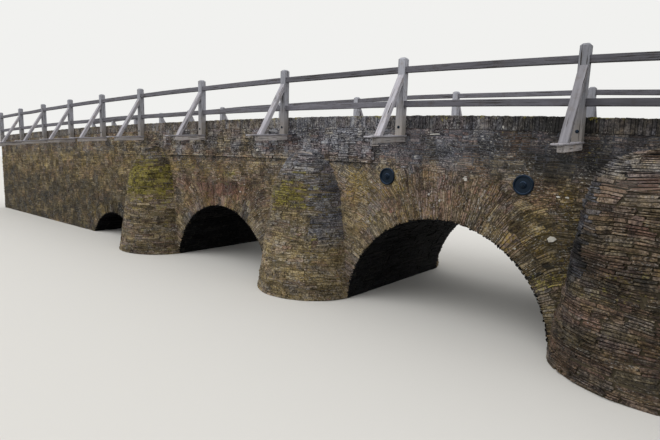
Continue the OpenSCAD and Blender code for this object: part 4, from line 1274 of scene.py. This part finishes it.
def timber_points(p0, p1, up, wide, thick, cuts, rng, stations, bow, wear, ends):
    """A sawn timber: a square with worn corners, sixteen points round, carried from p0 to p1 in rings that bow a little
    and whose corners wear by chance. Each end is drawn in by a chamfer and cut square or along a given plane."""
    p0, p1, up = (np.asarray(v, dtype=float) for v in (p0, p1, up))
    axis = p1 - p0
    span = np.linalg.norm(axis)
    axis /= span
    across = np.cross(axis, up)
    across /= np.linalg.norm(across)
    up = np.cross(across, axis)
    chamfer = 0.009
    w, t = wide / 2, thick / 2
    tip = chamfer * 0.3
    corner = [(w, t - chamfer), (w - tip, t - tip), (w - chamfer, t)]
    ring = []
    for sx, sy, middle in ((1, 1, (0.0, t)), (-1, 1, (-w, 0.0)), (-1, -1, (0.0, -t)), (1, -1, (w, 0.0))):
        part = [(sx * a, sy * b) for a, b in corner]
        ring += (part if sx == sy else part[::-1]) + [middle]
    ring = np.array(ring)
    share = np.concatenate([[0.0], np.linspace(0.0, 1.0, stations), [1.0]])
    squeeze = np.zeros(len(share))
    squeeze[0], squeeze[-1] = ends
    s = share * span
    s[1], s[-2] = ends[0], span - ends[1]
    worn = np.zeros((len(share), ROUND))
    for _ in range(3):
        pace, phase = rng.uniform(2, 14, ROUND), rng.uniform(0, math.tau, ROUND)
        worn += np.sin(share[:, None] * pace * span + phase) / 3
    is_corner = np.tile([0.5, 1.0, 0.5, 0.15], 4)
    inward = wear * (0.35 + 0.65 * np.abs(worn)) * is_corner
    radial = ring / np.linalg.norm(ring, axis=1, keepdims=True)
    at = ring[None] - radial[None] * inward[..., None]
    scale = np.stack([1 - squeeze / w, 1 - squeeze / t], axis=1)
    at = at * scale[:, None, :]
    bend = rng.normal(0, bow, 2)[None] * np.sin(share * math.pi)[:, None]
    at = at + bend[:, None, :]
    slide = np.zeros((len(share), ROUND))
    for plane, weight in ((cuts[0], 1 - share), (cuts[1], share)):
        if plane is not None:
            plane = np.asarray(plane, dtype=float)
            tilt = -(at[..., 0] * (across @ plane) + at[..., 1] * (up @ plane)) / (axis @ plane)
            slide += tilt * weight[:, None]
    run = s[:, None] + slide
    body = p0 + run[..., None] * axis + at[..., 0:1] * across + at[..., 1:2] * up
    heart = np.stack([p0, p1]) + bend[[0, -1], 0:1] * across + bend[[0, -1], 1:2] * up
    grain = np.concatenate([np.concatenate([run[..., None], at], axis=-1).reshape(-1, 3), [[0, 0, 0], [span, 0, 0]]])
    grain += rng.uniform(-20, 20, 3)
    verts = np.concatenate([body.reshape(-1, 3), heart])
    return verts, grain, len(share)


# How much paler or darker than their neighbours some timbers have weathered: kind, X and amount
WEATHERED = (
    ("top_rails", 0.85, -0.42), ("top_rails", 3.9, 0.22), ("mid_rails", 6.95, -0.40), ("mid_rails", 0.85, 0.10),
    ("sole_boards", 5.5, 0.45), ("struts", 5.5, -0.30), ("needle_beams", 5.5, 0.30), ("needle_beams", 2.4, -0.85),
    ("posts", 0.9, 0.16),
)


def bleach_and_painted_light(kind, side, x, rng):
    """How pale a timber is, by its X: weathered paleness with painted light and shade, palest left of the main arch's
    crown and darker towards the right end, and less or more where WEATHERED says."""
    found = 0.22 + 0.48 * float(smooth((4.2 - x) / 3.0)) + 0.50 * float(blob(x, 0, 2.4, 0, 1.2, 1))
    found += rng.uniform(-0.15, 0.15)
    found += sum(share * float(blob(x, 0, at, 0, 1.1, 1)) for timber, at, share in WEATHERED if timber == kind)
    found += 0.22 if kind == "posts" and side > 0 else 0.0
    return np.clip(found, 0, 1)


def timber_piece(kind, side_name):
    """All the timbers of one kind and side as one piece: rings of sixteen points, closed by a fan at each end. Posts
    are browner towards the foot."""
    side = SIDES[side_name]
    rng = draws(kind, side)
    node = f"{kind}_{side_name}"
    material, slot, stations, bow, wear, ends = TIMBERS[kind]
    wear *= bpy.context.scene.bridge_timber.wear
    built = [timber_points(*set_out, rng, stations, bow, wear, ends) for set_out in SET_OUT[kind](node, side)]
    verts, grains, quads, tris, tones, feet, start = [], [], [], [], [], [], 0
    k = np.arange(ROUND)
    m = (k + 1) % ROUND
    for co, grain, count in built:
        quads.append(start + tube(count, ROUND))
        last = (count - 1) * ROUND
        tris.append(start + np.stack([m, k, np.full(ROUND, count * ROUND)], axis=-1))
        tris.append(start + np.stack([last + k, last + m, np.full(ROUND, count * ROUND + 1)], axis=-1))
        verts.append(co)
        grains.append(grain)
        tones.append(np.full(len(co), bleach_and_painted_light(kind, side, co[:, 0].mean(), rng)))
        rise = co[:, 2] - co[:, 2].min()
        feet.append((1 - smooth(rise / 0.75)) * (kind == "posts"))
        start += len(co)
    values = {"grain": np.concatenate(grains), "tone": np.concatenate(tones), "foot": np.concatenate(feet)}
    quads, tris = np.concatenate(quads), np.concatenate(tris)
    co = np.concatenate(verts)
    # turn the faces outward if the rings were wound the other way
    a, b, c = co[quads[0, 0]], co[quads[0, 1]], co[quads[0, 3]]
    heart = co[quads[:ROUND].ravel()].mean(axis=0)
    if np.dot(np.cross(b - a, c - a), a - heart) < 0:
        quads, tris = quads[:, ::-1], tris[:, ::-1]
    return make_piece(f"{kind}_weathered_{side_name}", co, [quads, tris], values, material, slot, (node,))


# What follows sets out the timbers of a node, one to each solid: both ends of the middle line, the way up, width,
# thickness, and the planes its two ends are cut along


def set_out_posts(node, side):
    """Square posts with weathered, chamfered tops, whose feet are cut to the drooping beams."""
    lo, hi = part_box(node)
    y, deep = (lo.y + hi.y) / 2, hi.y - lo.y
    for x0, x1 in runs(node, 4):
        x = (x0 + x1) / 2
        z0, z1 = heights(node, x0)[0] + DROOP * deep / 2, heights(node, x0 + 0.03)[1]
        yield (x, y, z0), (x, y, z1), (0, 1, 0), x1 - x0, deep, ((0, side * DROOP, 1), None)


def set_out_struts(node, side):
    """Raking struts whose feet are cut to the boards and whose heads are cut upright against the posts."""
    co = points(node)
    for x0, x1 in runs(node, 2):
        mine = co[np.abs(co[:, 0] - x0) < 1e-3]
        reach = mine[:, 1] * side
        foot = mine[mine[:, 2] < mine[:, 2].min() + 0.01]
        head = mine[reach < reach.min() + 0.01]
        x = (x0 + x1) / 2
        fy, fz = (foot[:, 1].min() + foot[:, 1].max()) / 2, foot[:, 2].mean()
        hy, hz = head[:, 1].mean(), (head[:, 2].min() + head[:, 2].max()) / 2
        thick = np.ptp(foot[:, 1]) * math.cos(math.atan2(abs(hy - fy), hz - fz))
        yield (x, fy, fz), (x, hy, hz), (0, side, 0.3), x1 - x0, thick, ((0, side * DROOP, 1), (0, 1, 0))


def set_out_rails(node, _):
    """Rails let into the posts."""
    lo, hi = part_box(node)
    y = (lo.y + hi.y) / 2
    for x0, x1 in runs(node, 2):
        (a0, a1), (b0, b1) = heights(node, x0), heights(node, x1)
        start, end = (x0 - 0.012, y, (a0 + a1) / 2), (x1 + 0.012, y, (b0 + b1) / 2)
        yield start, end, (0, 0, 1), hi.y - lo.y, a1 - a0, (None, None)


def set_out_beams(node, side):
    """Needle beams let into the wall, with worn outer ends."""
    for x0, x1 in runs(node, 2):
        (y0, z0, tall), (y1, z1, _) = tips(node, x0, side)
        x = (x0 + x1) / 2
        yield (x, y0, z0), (x, y1, z1), (0, 0, 1), x1 - x0, tall, (None, None)


def set_out_boards(node, side):
    """Thin sole boards on the beams, worn back at their free ends, which are cut upright."""
    for *board, _ in set_out_beams(node, side):
        yield *board, ((0, 1, 0), None)


SET_OUT = {
    "posts": set_out_posts,
    "struts": set_out_struts,
    "top_rails": set_out_rails,
    "mid_rails": set_out_rails,
    "needle_beams": set_out_beams,
    "sole_boards": set_out_boards,
}

# A coach bolt's head on its washer, from the rim in: radius and how far out
BOLT_PROFILE = (
    (0.027, -0.004), (0.027, 0.004), (0.025, 0.005), (0.016, 0.005), (0.0155, 0.009), (0.011, 0.014), (0.005, 0.016),
)
BOLT_STEPS = 14


def bolts_piece(side_name):
    """A round-headed coach bolt on a round washer near the foot of each post: a lathe of fourteen steps round."""
    side = SIDES[side_name]
    node = f"posts_{side_name}"
    lo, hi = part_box(node)
    y = lo.y if side < 0 else hi.y
    r, out = np.array(BOLT_PROFILE).T[..., None]
    turn = np.arange(BOLT_STEPS) / BOLT_STEPS * math.tau
    verts, quads, caps, start = [], [], [], 0
    k = np.arange(BOLT_STEPS)
    for x0, x1 in runs(node, 4):
        z = heights(node, x0)[0] + 0.15
        ring = [(x0 + x1) / 2 + r * np.cos(turn), y + side * out + 0 * turn, z + r * np.sin(turn)]
        verts.append(np.stack(ring, axis=-1).reshape(-1, 3))
        quads.append(start + tube(len(r), BOLT_STEPS))
        caps.append(start + np.stack([k[::-1], (len(r) - 1) * BOLT_STEPS + k]))
        start += len(verts[-1])
    quads, caps = np.concatenate(quads), np.concatenate(caps)
    if side > 0:
        quads, caps = quads[:, ::-1], caps[:, ::-1]
    return make_piece(
        f"post_bolts_{side_name}", np.concatenate(verts), [quads, caps], {}, "cast_iron_old_paint", "iron"
    )


# ---------------------------------------------------------------- operators


class BRIDGE_OT_materials(bpy.types.Operator):
    """Makes every material of the bridge and gives the CAD nodes that stay in view theirs"""

    bl_idname = "bridge.materials"
    bl_label = "Make the materials"

    def execute(self, context):
        timber = context.scene.bridge_timber
        for name, _ in STONE_KINDS.values():
            # the nearly black arch stones, a painted shade, get little shine
            stone_finish(name, 0.04 if name.endswith("sooty") else 0.3)
        mortar = mortar_finish()
        for name, tint, pale in (
            ("weathered_oak_strut", timber.silver, 1.35),
            ("weathered_oak_post", timber.post, 1.35),
            ("weathered_oak_rail", timber.rail, 1.4),
            ("weathered_oak_beam", timber.beam, 1.4),
            ("weathered_oak_board", timber.silver, 1.5),
        ):
            timber_finish(name, list(tint), pale)
        kinds = {"tie_": iron_finish(), "road": road_finish()}
        for name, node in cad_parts.items():
            finish = next((m for key, m in kinds.items() if name.startswith(key)), mortar)
            for slot in node.material_slots:
                slot.link = "OBJECT"
                slot.material = finish
        return {"FINISHED"}


class BRIDGE_OT_walls(bpy.types.Operator):
    """Lays the rubble of both long walls, in fans round the arches and level above them"""

    bl_idname = "bridge.walls"
    bl_label = "Lay the walls"

    def execute(self, context):
        for side in SIDES:
            for number in range(4):
                wall_stones(side, number)
        return {"FINISHED"}


class BRIDGE_OT_soffits(bpy.types.Operator):
    """Lines the four arches with long thin stones"""

    bl_idname = "bridge.soffits"
    bl_label = "Line the arches"

    def execute(self, context):
        for number in range(4):
            soffit_stones(number)
        return {"FINISHED"}


class BRIDGE_OT_cutwaters(bpy.types.Operator):
    """Courses the six cutwaters, with stepped caps"""

    bl_idname = "bridge.cutwaters"
    bl_label = "Course the cutwaters"

    def execute(self, context):
        for side in SIDES:
            for number in range(3):
                nose_stones(number, side)
        return {"FINISHED"}


class BRIDGE_OT_copings(bpy.types.Operator):
    """Sets the stones on edge along both walls and dresses the bridge's two ends"""

    bl_idname = "bridge.copings"
    bl_label = "Set the copings"

    def execute(self, context):
        for side in SIDES:
            coping_stones(side)
            mortar_bed(f"coping_bed_{side}", f"coping_{side}")
        for name, x in (("left", LEFT), ("right", RIGHT)):
            mortar_bed(f"abutment_bed_{name}", f"abutment_{name}")
            end_stones(name, x)
        return {"FINISHED"}


class BRIDGE_OT_railings(bpy.types.Operator):
    """Makes the weathered timber railings of both sides with their bolts"""

    bl_idname = "bridge.railings"
    bl_label = "Make the railings"

    def execute(self, context):
        for side in SIDES:
            for kind in TIMBERS:
                timber_piece(kind, side)
            bolts_piece(side)
        return {"FINISHED"}


def seen_directly(tree):
    """1 for rays from the camera, off a shine or through glass, and 0 for the light that falls on the bridge."""
    seen = add(tree, "LightPath").outputs
    direct = seen["Is Camera Ray"]
    for ray in ("Is Glossy Ray", "Is Transmission Ray"):
        direct = add(tree, "Math", {0: direct, 1: seen[ray]}, operation="MAXIMUM").outputs[0]
    return direct


def light_studio(scene, stage):
    """Soft light all round under a plain backdrop, and a wide soft sun from behind the camera."""
    scene.world = bpy.data.worlds.new("studio_sky")
    scene.world.use_nodes = True
    tree = scene.world.node_tree
    tree.nodes.clear()
    soft = add(tree, "Background", {"Color": (1.0, 1.0, 1.0, 1.0), "Strength": stage.light}).outputs[0]
    backdrop = add(tree, "Background", {"Color": (*stage.sky, 1.0), "Strength": 1.0}).outputs[0]
    mix = add(tree, "MixShader", {0: seen_directly(tree), 1: soft, 2: backdrop}).outputs[0]
    add(tree, "OutputWorld", {"Surface": mix})
    lamp = bpy.data.lights.new("soft_sun", "SUN")
    lamp.energy = stage.sun
    lamp.angle = math.radians(50)
    sun = bpy.data.objects.new("soft_sun", lamp)
    sun.rotation_euler = (math.radians(48), 0.0, math.radians(-28))
    scene.collection.objects.link(sun)


def lay_floor(scene, stage):
    """A round floor of 120 m radius under the bridge: pale to the camera, and dim in the light it throws back up."""
    ring = np.arange(96) / 96 * math.tau
    disc = np.stack([120 * np.cos(ring), 120 * np.sin(ring), 0 * ring - 0.0005], axis=1)
    mesh = bpy.data.meshes.new("studio_floor")
    mesh.from_pydata(disc.tolist(), [], [list(range(96))])
    material, tree, shader = start_material("studio_floor_pale")
    tree.nodes.remove(shader)
    dim = add(tree, "BsdfDiffuse", {"Color": (0.16, 0.155, 0.14, 1.0)}).outputs[0]
    pale = add(tree, "BsdfDiffuse", {"Color": (*stage.floor, 1.0)}).outputs[0]
    mix = add(tree, "MixShader", {0: seen_directly(tree), 1: dim, 2: pale}).outputs[0]
    tree.links.new(mix, tree.nodes["Material Output"].inputs["Surface"])
    mesh.materials.append(material)
    floor = bpy.data.objects.new("studio_floor", mesh)
    scene.collection.objects.link(floor)
    floor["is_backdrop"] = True


def set_camera(scene, stage):
    """The camera where the photograph was taken from: turned left, tilted down and rolled."""
    yaw, pitch, roll = stage.aim
    ahead = Vector((-math.sin(yaw) * math.cos(pitch), math.cos(yaw) * math.cos(pitch), -math.sin(pitch)))
    level = Vector((math.cos(yaw), math.sin(yaw), 0.0))
    above = level.cross(ahead)
    right = math.cos(roll) * level + math.sin(roll) * above
    up = -math.sin(roll) * level + math.cos(roll) * above
    data = bpy.data.cameras.new("camera")
    data.lens = stage.lens
    data.sensor_width = 36.0
    data.clip_end = 500.0
    camera = bpy.data.objects.new("camera", data)
    scene.collection.objects.link(camera)
    turned = Matrix((right, up, -ahead)).transposed().to_4x4()
    camera.matrix_world = Matrix.Translation(Vector(stage.station)) @ turned
    scene.camera = camera


class BRIDGE_OT_stage(bpy.types.Operator):
    """Makes the pale floor, the soft light and the camera"""

    bl_idname = "bridge.stage"
    bl_label = "Set the stage"

    def execute(self, context):
        scene = context.scene
        light_studio(scene, scene.bridge_stage)
        lay_floor(scene, scene.bridge_stage)
        set_camera(scene, scene.bridge_stage)
        scene.view_settings.view_transform = "Standard"
        return {"FINISHED"}


OPERATORS = (
    BRIDGE_OT_materials,
    BRIDGE_OT_walls,
    BRIDGE_OT_soffits,
    BRIDGE_OT_cutwaters,
    BRIDGE_OT_copings,
    BRIDGE_OT_railings,
    BRIDGE_OT_stage,
)
GROUPS = {
    "bridge_masonry": BridgeMasonry,
    "bridge_stone": BridgeStoneColours,
    "bridge_timber": BridgeTimber,
    "bridge_iron": BridgeIron,
    "bridge_road": BridgeRoad,
    "bridge_stage": BridgeStage,
}


class BRIDGE_PT_panel(bpy.types.Panel):
    """Lists the bridge's steps and settings"""

    bl_label = "Stone Arch Bridge"
    bl_idname = "BRIDGE_PT_panel"
    bl_space_type = "VIEW_3D"
    bl_region_type = "UI"
    bl_category = "Bridge"

    def draw(self, context):
        for operator in OPERATORS:
            self.layout.operator(operator.bl_idname)
        for key, group in GROUPS.items():
            box = self.layout.box()
            for prop in group.__annotations__:
                box.prop(getattr(context.scene, key), prop)


def register():
    """Registers the settings, the operators and the panel."""
    for cls in (*GROUPS.values(), *OPERATORS, BRIDGE_PT_panel):
        bpy.utils.register_class(cls)
    for key, group in GROUPS.items():
        setattr(bpy.types.Scene, key, bpy.props.PointerProperty(type=group))


def unregister():
    """Takes the settings, the operators and the panel away again."""
    for key in GROUPS:
        delattr(bpy.types.Scene, key)
    for cls in (BRIDGE_PT_panel, *reversed(OPERATORS), *reversed(GROUPS.values())):
        bpy.utils.unregister_class(cls)


def main():
    """Runs every step in order."""
    register()
    bpy.ops.bridge.materials()
    bpy.ops.bridge.walls()
    bpy.ops.bridge.soffits()
    bpy.ops.bridge.cutwaters()
    bpy.ops.bridge.copings()
    bpy.ops.bridge.railings()
    bpy.ops.bridge.stage()
    boxes = [[list(corner) for corner in box] for box in (CAD_BOX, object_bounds())]


if __name__ == "__main__":
    main()
